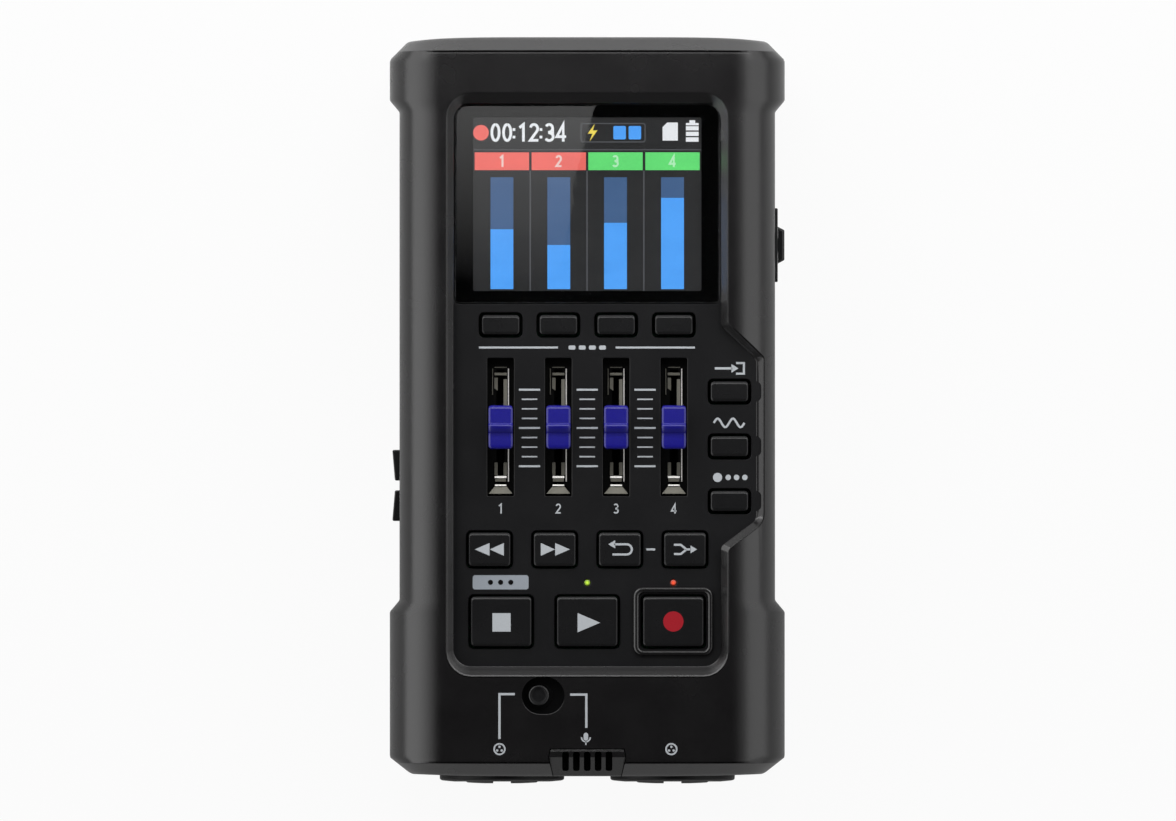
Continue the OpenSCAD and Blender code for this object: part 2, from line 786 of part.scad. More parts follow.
module rear_casing() {
    color([0.18, 0.18, 0.19]) difference() {
        union() {
            intersection() {
                difference() {
                    casing_form();
                    cavity();
                }
                block([-far, -far, 0], [far, far, part_z]);
            }
            bay_block(bay_wall, back_z + wall / 2, bay_top + bay_wall);
            for (p = boss_places) translate([p[0], p[1], back_z + wall / 2])
                cylinder(r = boss_r, h = rear_depth - wall / 2);
        }
        bay_block(0, back_z, bay_top);
        bay_block(bay_ledge, back_z - 1, back_z + cover_t);
        speaker_holes();
        feet_at(back_z - 1, 1.6, foot_d / 2 + 0.1);
        jack_holes();
        for (p = boss_places) translate([p[0], p[1], back_z - 1]) {
            cylinder(r = head_r + 0.3, h = head_sink + 1);
            cylinder(r = screw_r + 0.15, h = rear_depth + 2);
        }
    }
}

// Box in place of the cell bay, grown by g
module bay_block(g, from, to) {
    translate([0, bay_y]) along_z(from, to) square([bay_w + 2 * g, bay_l + 2 * g], center = true);
}

module battery_cover() {
    w = bay_w + 2 * (bay_ledge - cover_gap);
    l = bay_l + 2 * (bay_ledge - cover_gap);
    color([0.17, 0.17, 0.18]) difference() {
        translate([0, bay_y]) along_z(back_z, back_z + cover_t - skin) rounded(w, l, 1);
        for (i = [0:5]) translate([0, bay_y + l / 2 - 5 - 2 * i, back_z])
            cube([14, 0.9, 1], center = true);
    }
}

module battery_cells() {
    color([0.75, 0.6, 0.25]) for (i = [0:3]) {
        translate([(i - 1.5) * cell_pitch, bay_y, cell_z]) rotate([i % 2 == 0 ? -90 : 90, 0, 0]) {
            translate([0, 0, -cell_l / 2]) cylinder(r = cell_d / 2, h = cell_l - nub_l);
            translate([0, 0, cell_l / 2 - nub_l - join]) cylinder(r = nub_r, h = nub_l + join);
        }
    }
}

module battery_contacts() {
    color("silver") for (i = [0:3], s = [-1, 1]) {
        translate([(i - 1.5) * cell_pitch, bay_y + s * bay_l / 2, cell_z]) rotate([s * 90, 0, 0]) {
            translate([-contact_w / 2, -contact_w / 2, 0]) cube([contact_w, contact_w, contact_t]);
            cylinder(r = 2, h = contact_room - skin);
        }
    }
}

module speaker() {
    color([0.15, 0.15, 0.15]) translate([0, speaker_y, back_z + wall]) {
        cylinder(r = speaker_d / 2, h = speaker_h);
        cylinder(r = speaker_d / 4, h = speaker_h + magnet_h);
    }
}

module rubber_feet() {
    color([0.08, 0.08, 0.08]) feet_at(0, back_z + 0.6, foot_d / 2);
}

module casing_screws() {
    color("silver") for (p = boss_places) translate([p[0], p[1], back_z + head_sink]) {
        difference() {
            translate([0, 0, -head_h]) cylinder(r = head_r, h = head_h);
            for (a = [0, 90]) rotate(a) translate([0, 0, -head_h]) cube([2.4, 0.6, 1.4], center = true);
        }
        translate([0, 0, -join]) cylinder(r = screw_r, h = rear_depth - head_sink + boss_h - 2.5 + join);
    }
}

module board_screws() {
    color("silver") for (p = posts) translate([p[0], p[1], board_low]) {
        translate([0, 0, -1.1]) cylinder(r = 1.7, h = 1.1);
        translate([0, 0, -join]) cylinder(r = post_screw_r, h = board_t + post_screw_l + join);
    }
}

// Opening for a key of the panel
module key_hole(p, w, l) {
    translate(p) rounded(w + 2 * key_gap, l + 2 * key_gap, 1);
}

module guard_ring() {
    translate(transport_keys[2]) difference() {
        bevelled(guard_in_w + 2 * guard_w, guard_in_l + 2 * guard_w, floor_z - join,
            floor_z + guard_rise, 2, 0.3);
        along_z(floor_z - 1, floor_z + guard_rise + 1) rounded(guard_in_w, guard_in_l, 1);
    }
}

module control_panel() {
    color([0.11, 0.11, 0.12]) {
        difference() {
            union() {
                along_z(panel_z, floor_z) tray_plan(panel_rim);
                for (p = posts) translate([p[0], p[1], board_z])
                    cylinder(r = post_r, h = panel_z - board_z + join);
            }
            along_z(panel_z - 1, floor_z + 1) {
                for (p = track_keys) key_hole(p, track_key_w, track_key_l);
                for (p = function_keys) key_hole(p, function_key_w, function_key_l);
                for (p = locate_keys) key_hole(p, locate_key_w, locate_key_l);
                for (p = transport_keys) key_hole(p, transport_key_w, transport_key_l);
                for (i = [0:3]) translate([fader_x(i), fader_y]) square([slot_w, slot_l], center = true);
            }
            translate([0, window_y]) {
                along_z(window_z, floor_z + 1) window_plan(window_gap);
                along_z(panel_z - 1, floor_z)
                    square([window_w - 2 * window_ledge, window_h - 2 * window_ledge], center = true);
            }
            for (x = [0, transport_pitch]) translate([x, lamp_y, panel_z - 1])
                cylinder(r = 0.75, h = panel_t + 2);
            for (p = posts) translate([p[0], p[1], board_z - 1])
                cylinder(r = post_screw_r + 0.05, h = post_screw_l + 2);
        }
        guard_ring();
    }
}

// Outline of the window: small corners below, round ones at the display end
module window_plan(g) {
    w = window_w / 2 + g;
    l = window_h / 2 + g;
    r = window_round + g;
    polygon([[-w, -l], [w, -l], [w, l - r], [w - r, l], [-w + r, l], [-w, l - r]]);
    for (s = [-1, 1]) translate([s * (w - r), l - r]) circle(r);
}

module display_window() {
    color([0.03, 0.03, 0.04, 0.6]) translate([0, window_y])
        along_z(window_z, window_z + window_t) window_plan(0);
}

module lcd_module() {
    color([0.15, 0.15, 0.17]) translate([0, window_y])
        along_z(panel_z - skin - lcd_t, panel_z - skin)
            square([window_w - 2 * lcd_inset, window_h - 2 * lcd_inset], center = true);
}

module lcd_holder() {
    w = window_w - 2 * lcd_inset;
    l = window_h - 2 * lcd_inset;
    color([0.8, 0.8, 0.78]) translate([0, window_y]) along_z(board_z, panel_z - skin - lcd_t) difference() {
        square([w, l], center = true);
        square([w - 5, l - 5], center = true);
    }
}

module main_board() {
    color([0.1, 0.35, 0.2]) difference() {
        block([-board_half, board_y0, board_low], [board_half, board_y1, board_z]);
        for (p = posts) translate([p[0], p[1], board_low - 1])
            cylinder(r = post_screw_r + 0.1, h = board_t + 2);
    }
}

module jack_board() {
    color([0.1, 0.35, 0.2])
        block([-jack_board_half, jack_board_y0, jack_board_z],
            [jack_board_half, jack_board_y1, jack_board_top]);
}

// Key of the panel: cap, flange under the panel and stem over its switch
module panel_key(p, w, l, rise) {
    grow = 2 * (key_gap + flange_out);
    color([0.12, 0.12, 0.13]) translate([p[0], p[1]]) {
        bevelled(w, l, flange_low, floor_z + rise, 0.8, key_bevel);
        along_z(flange_low, flange_top) rounded(w + grow, l + grow, 1);
        translate([0, 0, stem_low]) cylinder(r = stem_r, h = stem_l + join);
    }
}

module track_key(i) {
    panel_key(track_keys[i], track_key_w, track_key_l, low_rise);
}

module function_key(i) {
    panel_key(function_keys[i], function_key_w, function_key_l, low_rise);
}

module locate_key(i) {
    panel_key(locate_keys[i], locate_key_w, locate_key_l, high_rise);
}

module transport_key(i) {
    panel_key(transport_keys[i], transport_key_w, transport_key_l, high_rise);
}

// Push switches: one under each key of the panel, one behind each volume key
module key_switches() {
    color([0.25, 0.25, 0.27]) {
        for (p = panel_keys) translate([p[0], p[1], board_z]) {
            translate([-switch_w / 2, -switch_w / 2, 0]) cube([switch_w, switch_w, switch_body]);
            cylinder(r = plunger_r, h = switch_top - board_z);
        }
        for (s = [-1, 1]) translate([-inner_x + volume_reach, volume_mid(s), side_z]) {
            rotate([0, 90, 0]) cylinder(r = plunger_r, h = 2);
            block([1, -switch_w / 2, -switch_w / 2], [6, switch_w / 2, board_low - side_z]);
        }
    }
}

// Fader cap: a long foot, a finger slope on each side of a ridge, and the lever's socket
module fader_cap(i) {
    low = floor_z - cap_sink;
    ridge = floor_z + cap_rise;
    half = cap_l / 2;
    color([0.13, 0.11, 0.55]) translate([fader_x(i), fader_y]) difference() {
        intersection() {
            along_z(low, ridge) rounded(cap_w, cap_l, 0.8);
            along_x(-cap_w, cap_w) polygon([[-half, low], [half, low],
                [half, ridge - 1.1], [half - 0.4, ridge - 0.7], [1.2, ridge - 0.4], [0.9, ridge],
                [0.3, ridge], [-0.6, ridge - 1.3], [-half + 0.4, ridge - 0.9], [-half, ridge - 1.3]]);
        }
        along_z(low - 1, low + socket_l) square([tongue_t, tongue_l], center = true);
    }
}

// Fader lever: a slider inside the housing and a tongue up into the cap
module fader_lever(i) {
    slider_low = board_z + 1.6;
    slider_high = fader_top - fader_sheet - 0.8;
    color([0.3, 0.3, 0.3]) translate([fader_x(i), fader_y]) {
        along_z(slider_low, slider_high)
            square([fader_w - 2 * fader_sheet - 1.2, tongue_l + 2], center = true);
        along_z(slider_low, floor_z - cap_sink + socket_l) square([tongue_t, tongue_l], center = true);
    }
}

// Fader housing: sheet metal channel with a slit for the lever's tongue
module fader_housing(i) {
    l = slot_l + 2 * fader_over;
    s = 2 * fader_sheet;
    color([0.72, 0.72, 0.72]) translate([fader_x(i), fader_y]) difference() {
        along_z(board_z, fader_top) square([fader_w, l], center = true);
        along_z(board_z + fader_sheet, fader_top - fader_sheet) square([fader_w - s, l - s], center = true);
        along_z(fader_top - 2 * fader_sheet, fader_top + 1)
            square([tongue_t + 0.8, fader_travel + tongue_l + 1], center = true);
    }
}

module lamp(x, shade) {
    color(shade) translate([x, lamp_y, board_z]) {
        cylinder(r = 1.4, h = 2.4);
        cylinder(r = 0.65, h = floor_z - board_z + 0.12);
    }
}

module selector_knob() {
    color([0.13, 0.13, 0.14]) translate([knob_x, selector_y]) {
        difference() {
            along_z(knob_low, knob_top) circle(knob_d / 2);
            along_z(knob_top - 0.4, knob_top + 1) circle(knob_d / 2 - 0.6);
        }
        along_z(selector_top - stem_sink, knob_low + join) square(knob_stem, center = true);
    }
}

module selector_switch() {
    color([0.3, 0.3, 0.32]) translate([selector_x, selector_y]) difference() {
        along_z(jack_board_top, selector_top) square([selector_w, selector_l], center = true);
        along_z(selector_top - stem_sink - join, selector_top + 1)
            square([selector_slot, knob_stem + 2 * power_gap], center = true);
    }
}

module power_plate() {
    color([0.15, 0.15, 0.16]) difference() {
        translate([0, power_y, side_z]) along_x(half_w, half_w + power_plate_t)
            rounded(power_plate_l, power_plate_h, 0.8);
        side_hole(1, power_y, side_z, power_slot_l, power_slot_h, 0.6);
    }
}

module power_knob() {
    foot = half_w + power_plate_t + 0.1;
    tip = half_w + power_knob_out;
    long = power_knob_l / 2;
    short = long - power_knob_draw;
    stem = [power_stem_l / 2, power_stem_h / 2];
    color([0.2, 0.2, 0.21]) {
        translate([0, power_y]) along_z(side_z - power_knob_h / 2, side_z + power_knob_h / 2)
            polygon([[foot, -long], [tip, -short], [tip, short], [foot, long]]);
        block([side_inner - stem_sink, power_y - stem[0], side_z - stem[1]],
            [foot + join, power_y + stem[0], side_z + stem[1]]);
    }
}

module power_switch() {
    color([0.3, 0.3, 0.32]) difference() {
        block([board_half - power_switch_in, power_y - power_switch_l / 2, side_low],
            [side_inner, power_y + power_switch_l / 2, board_low]);
        block([side_inner - stem_sink - join, power_y - power_slot_l / 2, side_z - power_slot_h / 2],
            [side_inner + 1, power_y + power_slot_l / 2, side_z + power_slot_h / 2]);
    }
}

// Volume key, s = 1 for up: a wedge through the wall with a flange inside it
module volume_key(s) {
    half = volume_l / 2;
    inside = inner_x - skin;
    color([0.15, 0.15, 0.16]) translate([0, volume_mid(s), side_z]) {
        along_z(-side_h / 2, side_h / 2) polygon([[-inside + join, -half], [-inside + join, half],
            [-half_w - (s > 0 ? volume_out : volume_in), half],
            [-half_w - (s > 0 ? volume_in : volume_out), -half]]);
        along_x(-inside, -inside + volume_flange_t)
            rounded(volume_hole_l + 0.9, side_h + 2 * key_gap - 0.1, 0.6);
    }
}

// The domed face that a jack's collar and insert share
module jack_dome(x) {
    translate([x, crown_y + dome_r, jack_z]) sphere(dome_r, $fn = 180);
}

// Cylinder along a jack's axis
module jack_round(x, r, from, to) {
    translate([x, from, jack_z]) rotate([-90, 0, 0]) cylinder(r = r, h = to - from);
}

module combo_jack(x) {
    color([0.09, 0.09, 0.1]) difference() {
        union() {
            intersection() {
                jack_round(x, collar_r, crown_y, seat_y);
                jack_dome(x);
            }
            jack_round(x, jack_d / 2, y0, jack_end);
            for (i = [-1:1]) translate([x + 4 * i, y0 + 14 + 3 * abs(i), jack_z + jack_d / 2 - 1.6])
                cylinder(r = pin_r, h = jack_board_z - jack_z - jack_d / 2 + 1.6);
        }
        jack_round(x, mouth_d / 2, crown_y - 1, crown_y + mouth_depth);
        jack_round(x, insert_d / 2 + tail_gap, crown_y, jack_end - 2);
    }
}

module jack_insert(x) {
    color([0.12, 0.12, 0.13]) difference() {
        intersection() {
            jack_round(x, insert_d / 2, crown_y, jack_end - 2);
            jack_dome(x);
        }
        jack_round(x, plug_r, crown_y - 1, crown_y + plug_depth);
        for (a = [90, 210, 330]) translate([5.5 * cos(a), 0, 5.5 * sin(a)])
            jack_round(x, 1.2, crown_y - 1, crown_y + 11);
        block([x - groove_w / 2, crown_y - 1, jack_z - 10], [x + groove_w / 2, crown_y + 0.5, jack_z + 10]);
    }
}

module mic_grille() {
    color([0.22, 0.21, 0.22]) difference() {
        intersection() {
            difference() {
                casing_form();
                cavity();
            }
            grille_wedge(0);
        }
        for (i = [-2:2]) block([i * grille_pitch - grille_slot / 2, y0 + 1.3, grille_low - 1],
            [i * grille_pitch + grille_slot / 2, y0 + grille_up - 1.05, far]);
    }
}

module mic_capsule() {
    color("silver") translate([0, mic_y, jack_board_top]) cylinder(r = mic_r, h = mic_h);
}

module phones_jack() {
    nose = half_w - 0.2;
    color([0.1, 0.1, 0.1]) difference() {
        union() {
            block([-side_inner, phones_y - phones_w / 2, side_low],
                [-side_inner + phones_depth, phones_y + phones_w / 2, board_low]);
            translate([-nose, phones_y, port_z]) rotate([0, 90, 0]) cylinder(r = phones_nose_r, h = wall + 1);
        }
        translate([-nose - 1, phones_y, port_z]) rotate([0, 90, 0]) cylinder(r = phones_r, h = phones_depth);
    }
}

module usb_socket() {
    back = board_half - 4;
    mouth = half_w - 0.3;
    color("silver") translate([0, usb_y, port_z]) {
        difference() {
            union() {
                along_x(back, mouth) rounded(usb_w, usb_h, 1.6);
                block([back, -usb_w / 2, 0], [board_half, usb_w / 2, board_low - port_z]);
            }
            along_x(back + 1.5, mouth + 1) rounded(usb_w - 0.6, usb_h - 0.6, 1.3);
        }
        block([back + 1, -3.3, -0.35], [mouth - 0.8, 3.3, 0.35]);
    }
}

module card_socket() {
    back = side_inner - card_depth;
    color("silver") difference() {
        block([back, card_y - card_w / 2 - card_wall, port_z - card_h / 2 - join],
            [side_inner, card_y + card_w / 2 + card_wall, board_low]);
        translate([0, card_y, port_z]) along_x(back + card_wall, side_inner + 1)
            square([card_w, card_h], center = true);
    }
}

front_casing();
rear_casing();
control_panel();
display_window();
lcd_module();
lcd_holder();
main_board();
jack_board();
for (i = [0:3]) track_key(i);
function_key(0);  // input_key
function_key(1);  // effect_key
function_key(2);  // rhythm_key
locate_key(0);  // rewind_key
locate_key(1);  // forward_key
locate_key(2);  // undo_key
locate_key(3);  // bounce_key
transport_key(0);  // stop_key
transport_key(1);  // play_key
transport_key(2);  // record_key
key_switches();
for (i = [0:3]) fader_cap(i);
for (i = [0:3]) fader_lever(i);
for (i = [0:3]) fader_housing(i);
lamp(0, [0.7, 0.9, 0.3]);  // play_lamp
lamp(transport_pitch, [0.95, 0.3, 0.2]);  // record_lamp
selector_knob();
selector_switch();
power_plate();
power_knob();
power_switch();
volume_key(1);  // volume_up_key
volume_key(-1);  // volume_down_key
combo_jack(-jack_x);  // combo_jack_a
combo_jack(jack_x);  // combo_jack_b
jack_insert(-jack_x);  // jack_insert_a
jack_insert(jack_x);  // jack_insert_b
mic_grille();
mic_capsule();
phones_jack();
usb_socket();
card_socket();
speaker();
battery_cover();
battery_cells();
battery_contacts();
casing_screws();
board_screws();
rubber_feet();
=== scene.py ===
"""Looks of a digital multitrack recorder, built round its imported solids.

Lengths are millimetres in the frame of the part, and new_piece turns them into metres.
+Z points out of the control face, +Y to the display end and +X to the right of the controls.
"""
import math
from collections import namedtuple

import bmesh
import bpy
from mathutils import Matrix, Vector


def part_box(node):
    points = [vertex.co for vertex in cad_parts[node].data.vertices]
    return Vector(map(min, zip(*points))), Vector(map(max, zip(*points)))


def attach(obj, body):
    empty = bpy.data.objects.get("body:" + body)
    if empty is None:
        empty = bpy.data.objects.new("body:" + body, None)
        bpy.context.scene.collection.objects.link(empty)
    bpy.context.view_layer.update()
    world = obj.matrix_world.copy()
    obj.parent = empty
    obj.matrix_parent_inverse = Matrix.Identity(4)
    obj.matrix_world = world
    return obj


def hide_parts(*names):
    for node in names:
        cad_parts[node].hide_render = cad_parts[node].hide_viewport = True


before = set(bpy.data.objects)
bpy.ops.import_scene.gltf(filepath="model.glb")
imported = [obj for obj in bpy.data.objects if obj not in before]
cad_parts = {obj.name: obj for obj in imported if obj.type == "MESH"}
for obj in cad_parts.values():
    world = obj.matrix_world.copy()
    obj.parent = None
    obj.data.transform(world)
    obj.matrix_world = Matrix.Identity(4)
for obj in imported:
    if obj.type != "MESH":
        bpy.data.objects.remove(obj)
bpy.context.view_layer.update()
MM = 0.001


def box(node):
    """Lowest and highest corner of a solid of the frame."""
    low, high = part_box(node)
    return low / MM, high / MM


def middle(node):
    low, high = box(node)
    return (low + high) / 2


# Sizes that the solids give
casing_low, casing_high = box("front_casing")
PART_Z = casing_low.z
FRONT_Z = casing_high.z
Y0 = casing_low.y
Y1 = casing_high.y
WIDE = casing_high.x
BACK_Z = box("rear_casing")[0].z
window_low, window_high = box("display_window")
PANEL_RIM = 1.0
PANEL_THICK = 2.8
WINDOW_UNDER = 0.3
panel_low, panel_high = box("control_panel")
FLOOR_Y0 = panel_low.y + PANEL_RIM
FLOOR_Y1 = panel_high.y - PANEL_RIM
FLOOR_HALF = -panel_low.x - PANEL_RIM
BULGE_X = panel_high.x - PANEL_RIM
FLOOR_Z = window_high.z + WINDOW_UNDER
PANEL_Z = FLOOR_Z - PANEL_THICK
SIDE_Z = middle("power_plate").z

# Casing
BUMPER_OUT = 2.1
WAIST = WIDE - BUMPER_OUT
FRONT_EDGE = 9.6
BACK_EDGE = 6.0
LEAST_FRONT_EDGE = 4.0
LEAST_BACK_EDGE = 2.0
FLAT_HALF = WAIST - FRONT_EDGE
BACK_HALF = WAIST - BACK_EDGE
BUMPER_RAMP = 2.5
RAMP_SOFT = 0.12
RAMP_START = 1.14
RAMP_SPAN = 1.28
RAMP_STEPS = 14
BEVEL_DROP = 5.5
BEVEL_SOFT = 0.03
BACK_BEVEL = 2.5
BACK_SOFT = 0.4
CROWN_FADE = 1.3
CORNER_SOFT = 0.05
CORNER_REACH = 7.2
RIM_ROUND = 0.6
RIM_STEPS = 5
SEAM = 0.25
WALL = 2.0
END_WALL = 4.5
End = namedtuple("End", "side y bevel crown power bumper groove corner_x corner_y")
TOP_END = End(1, Y1, 2.8, 1.04, 6, 16.25, 0.45, 3.9, 3.95)
JACK_END = End(-1, Y0, 2.7, 0.5, 4, 38.1, 0.4, 4.6, 3.6)
# Line between an end's bevel and the flat front: (distance past the bevel, share of its depth)
GROOVE = ((0.06, 0.0), (0.08, 1.0), (0.22, 1.0), (0.32, 0.6), (0.42, 0.25), (0.55, 0.05), (0.7, 0.0))
GROOVE_FADE = 6.0

# Tray
TRAY_LIP = 1.5
TRAY_END_LIP = 2.1
TRAY_CORNER = 3.7
TRAY_TOP_CORNER = 3.6
BULGE_RISE = 7.3
BULGE_FALL = 5.8
BULGE_OVER = 6.75
BULGE_UNDER = 4.05
BULGE_Y1 = middle("input_key").y + BULGE_OVER
BULGE_Y0 = middle("rhythm_key").y - BULGE_UNDER
BULGE_START = BULGE_Y1 + BULGE_RISE
BULGE_END = BULGE_Y0 - BULGE_FALL
BULGE_SIDE_R = 1.6
BULGE_HIGH_R = 1.3
BULGE_LOW_R = 2.2
# Steepness of the tray's sloping band along its right side, and what its upper corners add: (y, factor)
RIGHT_STEEP = ((FLOOR_Y0 + 1.5, 1.06), (FLOOR_Y0 + 5.0, 2.5), (-41.0, 2.5), (-37.5, 1.0),
               (BULGE_END - 1.0, 1.0), (BULGE_END + 0.5, 0.6), (BULGE_Y0 - 0.5, 0.6), (BULGE_Y0 + 1.5, 0.38),
               (BULGE_Y1 - 1.5, 0.38), (BULGE_Y1 + 1.0, 2.0), (BULGE_START - 0.5, 2.0),
               (BULGE_START + 1.5, 1.25))
CORNER_STEEP = ((FLOOR_Y1 - 5.0, 0.0), (FLOOR_Y1 - 1.0, 0.5))
CORNER_WIDE = 2.5
# Share of the tray's growth, and the band's drop under the face along the sides and at the low end
BAND = ((0.0, 1.57, 1.72), (0.015, 1.48, 1.69), (0.05, 1.4, 1.66), (0.1, 1.33, 1.61), (0.35, 0.98, 1.1),
        (0.82, 0.31, 0.16), (1.0, 0.08, 0.05))
# The same for the rounded lip, as a rise
LIP = ((1.05, -0.03, -0.02), (1.09, -0.015, -0.3), (1.15, -0.005, -0.3), (1.17, 0.0, 0.0), (1.24, 0.8, 0.8))

# Keys and openings
TRACK_KEYS = [f"track_key_{i}" for i in range(1, 5)]
FUNCTION_KEYS = ["input_key", "effect_key", "rhythm_key"]
LOCATE_KEYS = ["rewind_key", "forward_key", "undo_key", "bounce_key"]
TRANSPORT_KEYS = ["stop_key", "play_key", "record_key"]
PANEL_KEYS = TRACK_KEYS + FUNCTION_KEYS + LOCATE_KEYS + TRANSPORT_KEYS
KEY_GAP = 0.35
FLANGE_OUT = 0.8
KEY_ROUND = 0.8
# Upper edge of a key: inset at its sides and at its ends, and height under its top
KEY_EDGE = ((0.0, 0.0, 0.6), (0.02, 0.02, 0.4), (0.05, 0.08, 0.27), (0.08, 0.14, 0.2), (0.16, 0.42, 0.08),
            (0.24, 0.52, 0.025), (0.36, 0.68, 0.0))
INK = 0.03


def ease(t):
    t = min(max(t, 0.0), 1.0)
    return t * t * (3 - 2 * t)


def soft_ramp(t, r):
    """t where it is positive and 0 where not, with the bend rounded over a reach of r."""
    if t <= -r:
        return 0.0
    if t >= r:
        return t
    return (t + r) ** 2 / (4 * r)


def soft_step(t, r):
    """Ramp from 0 to 1 for t from 0 to 1, with both bends rounded over a reach of r."""
    return soft_ramp(t, r) - soft_ramp(t - 1, r)


def along(table, t):
    """Value at t of a table of (place, value) pairs, straight between them and even past its ends."""
    for (a, low), (b, high) in zip(table, table[1:]):
        if t <= b:
            return low + (high - low) * max(t - a, 0.0) / (b - a)
    return table[-1][1]


# Mesh helpers
def linked(name, data):
    """New object in the scene."""
    item = bpy.data.objects.new(name, data)
    bpy.context.scene.collection.objects.link(item)
    return item


def new_piece(name, points, faces):
    mesh = bpy.data.meshes.new(name)
    mesh.from_pydata([(x * MM, y * MM, z * MM) for x, y, z in points], [], faces)
    solid = bmesh.new()
    solid.from_mesh(mesh)
    bmesh.ops.recalc_face_normals(solid, faces=solid.faces)
    solid.to_mesh(mesh)
    solid.free()
    return linked(name, mesh)


def loft(name, rings, tube=False, cap=None):
    """Skin over rings of equally many points; cap lists the faces of an end by place in its ring."""
    count = len(rings[0])
    points = [point for ring in rings for point in ring]
    faces = []
    last = len(rings) if tube else len(rings) - 1
    for k in range(last):
        here = k * count
        there = (k + 1) % len(rings) * count
        for j in range(count):
            n = (j + 1) % count
            faces.append((here + j, here + n, there + n, there + j))
    if not tube:
        cap = cap or [tuple(range(count))]
        end = (len(rings) - 1) * count
        faces += [tuple(reversed(face)) for face in cap]
        faces += [tuple(end + j for j in face) for face in cap]
    return new_piece(name, points, faces)


def placed(outline, level, axis="z"):
    """Points of a flat outline at a level along an axis."""
    if axis == "z":
        return [(u, v, level) for u, v in outline]
    if axis == "y":
        return [(u, level, v) for u, v in outline]
    return [(level, u, v) for u, v in outline]


def stack(name, levels, axis="z"):
    """Skin over (outline, level) pairs."""
    return loft(name, [placed(outline, level, axis) for outline, level in levels])


def prism(name, outline, low, high, axis="z"):
    return stack(name, [(outline, low), (outline, high)], axis)


def round_corners(corners, steps=6):
    """Closed outline through corners (x, y, radius), with an arc in place of each corner."""
    outline = []
    for i, (x, y, r) in enumerate(corners):
        here = Vector((x, y))
        back = (Vector(corners[i - 1][:2]) - here).normalized()
        on = (Vector(corners[(i + 1) % len(corners)][:2]) - here).normalized()
        half = back.angle(on) / 2
        centre = here + (back + on).normalized() * (r / math.sin(half))
        start = here + back * (r / math.tan(half)) - centre
        stop = here + on * (r / math.tan(half)) - centre
        first = math.atan2(start.y, start.x)
        turn = (math.atan2(stop.y, stop.x) - first + math.pi) % (2 * math.pi) - math.pi
        for k in range(steps + 1):
            a = first + turn * k / steps
            outline.append((centre.x + r * math.cos(a), centre.y + r * math.sin(a)))
    return outline


def rounded_rect(w, l, r, centre=(0, 0), steps=6):
    x, y = centre
    corners = [(x - w / 2, y - l / 2, r), (x + w / 2, y - l / 2, r),
               (x + w / 2, y + l / 2, r), (x - w / 2, y + l / 2, r)]
    return round_corners(corners, steps)


def circle(r, centre=(0, 0), count=48):
    turns = [2 * math.pi * k / count for k in range(count)]
    return [(centre[0] + r * math.cos(a), centre[1] + r * math.sin(a)) for a in turns]


def lathe(name, profile, centre, axis="z", tube=False, count=64):
    """Turned form: profile lists (radius, level) pairs."""
    rings = [placed(circle(r, centre, count), level, axis) for r, level in profile]
    return loft(name, rings, tube)


def joined(name, pieces):
    """One piece made of several."""
    whole = bmesh.new()
    for piece in pieces:
        whole.from_mesh(piece.data)
    mesh = bpy.data.meshes.new(name)
    whole.to_mesh(mesh)
    whole.free()
    for piece in pieces:
        bpy.data.objects.remove(piece)
    return linked(name, mesh)


def shaped(piece, tool, operation="DIFFERENCE"):
    """Cuts, joins or trims a piece with a closed tool piece, which is used up."""
    step = piece.modifiers.new("shape", "BOOLEAN")
    step.operation = operation
    step.solver = "MANIFOLD"
    step.object = tool
    bpy.context.view_layer.update()
    graph = bpy.context.evaluated_depsgraph_get()
    mesh = bpy.data.meshes.new_from_object(piece.evaluated_get(graph))
    if not mesh.polygons:
        raise RuntimeError(f"{piece.name}: nothing left after {tool.name}")
    piece.modifiers.clear()
    piece.data = mesh
    bpy.data.objects.remove(tool)
    return piece


def cut(piece, outline, low, high, axis="z"):
    """Cuts an even hole of an outline into a piece."""
    shaped(piece, prism("tool", outline, low, high, axis))


def smooth(piece, angle=32):
    piece.data.shade_smooth()
    piece.data.set_sharp_from_angle(angle=math.radians(angle))
    weights = piece.modifiers.new("face weights", "WEIGHTED_NORMAL")
    weights.keep_sharp = True


def dress(piece, material, body="casing", node=None, angle=32):
    """Gives a piece its material, its smooth faces and the body that it rides on."""
    smooth(piece, angle)
    piece.data.materials.clear()
    piece.data.materials.append(material)
    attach(piece, body)
    if node:
        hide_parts(node)
    return piece


# Materials
def tint(*levels):
    """Colour from its levels of 0 to 255 as seen on a screen."""
    shares = [level / 255 for level in levels]
    linear = [s / 12.92 if s <= 0.04045 else ((s + 0.055) / 1.055) ** 2.4 for s in shares]
    return (*linear, 1.0)


def shade(colour, factor):
    return tuple(min(c * factor, 1.0) for c in colour[:3]) + (1.0,)


def new_material(name):
    material = bpy.data.materials.new(name)
    material.use_nodes = True
    tree = material.node_tree
    return material, tree, tree.nodes["Principled BSDF"]


def feed(tree, socket, value):
    """Links a socket to another one, or sets it to a value."""
    if isinstance(value, bpy.types.NodeSocket):
        tree.links.new(value, socket)
    else:
        socket.default_value = value


def fill(tree, step, **inputs):
    """Feeds inputs of a node; their names have _ for each space."""
    for name, value in inputs.items():
        feed(tree, step.inputs[name.replace("_", " ")], value)
    return step


def add_node(tree, kind, **inputs):
    return fill(tree, tree.nodes.new(kind), **inputs)


def worked_out(tree, operation, *values, kind="ShaderNodeMath"):
    """Result of arithmetic on sockets or numbers."""
    step = add_node(tree, kind)
    step.operation = operation
    for socket, value in zip(step.inputs, values):
        feed(tree, socket, value)
    return step.outputs["Value"]


def place_on(tree, kind="Object"):
    return add_node(tree, "ShaderNodeTexCoord").outputs[kind]


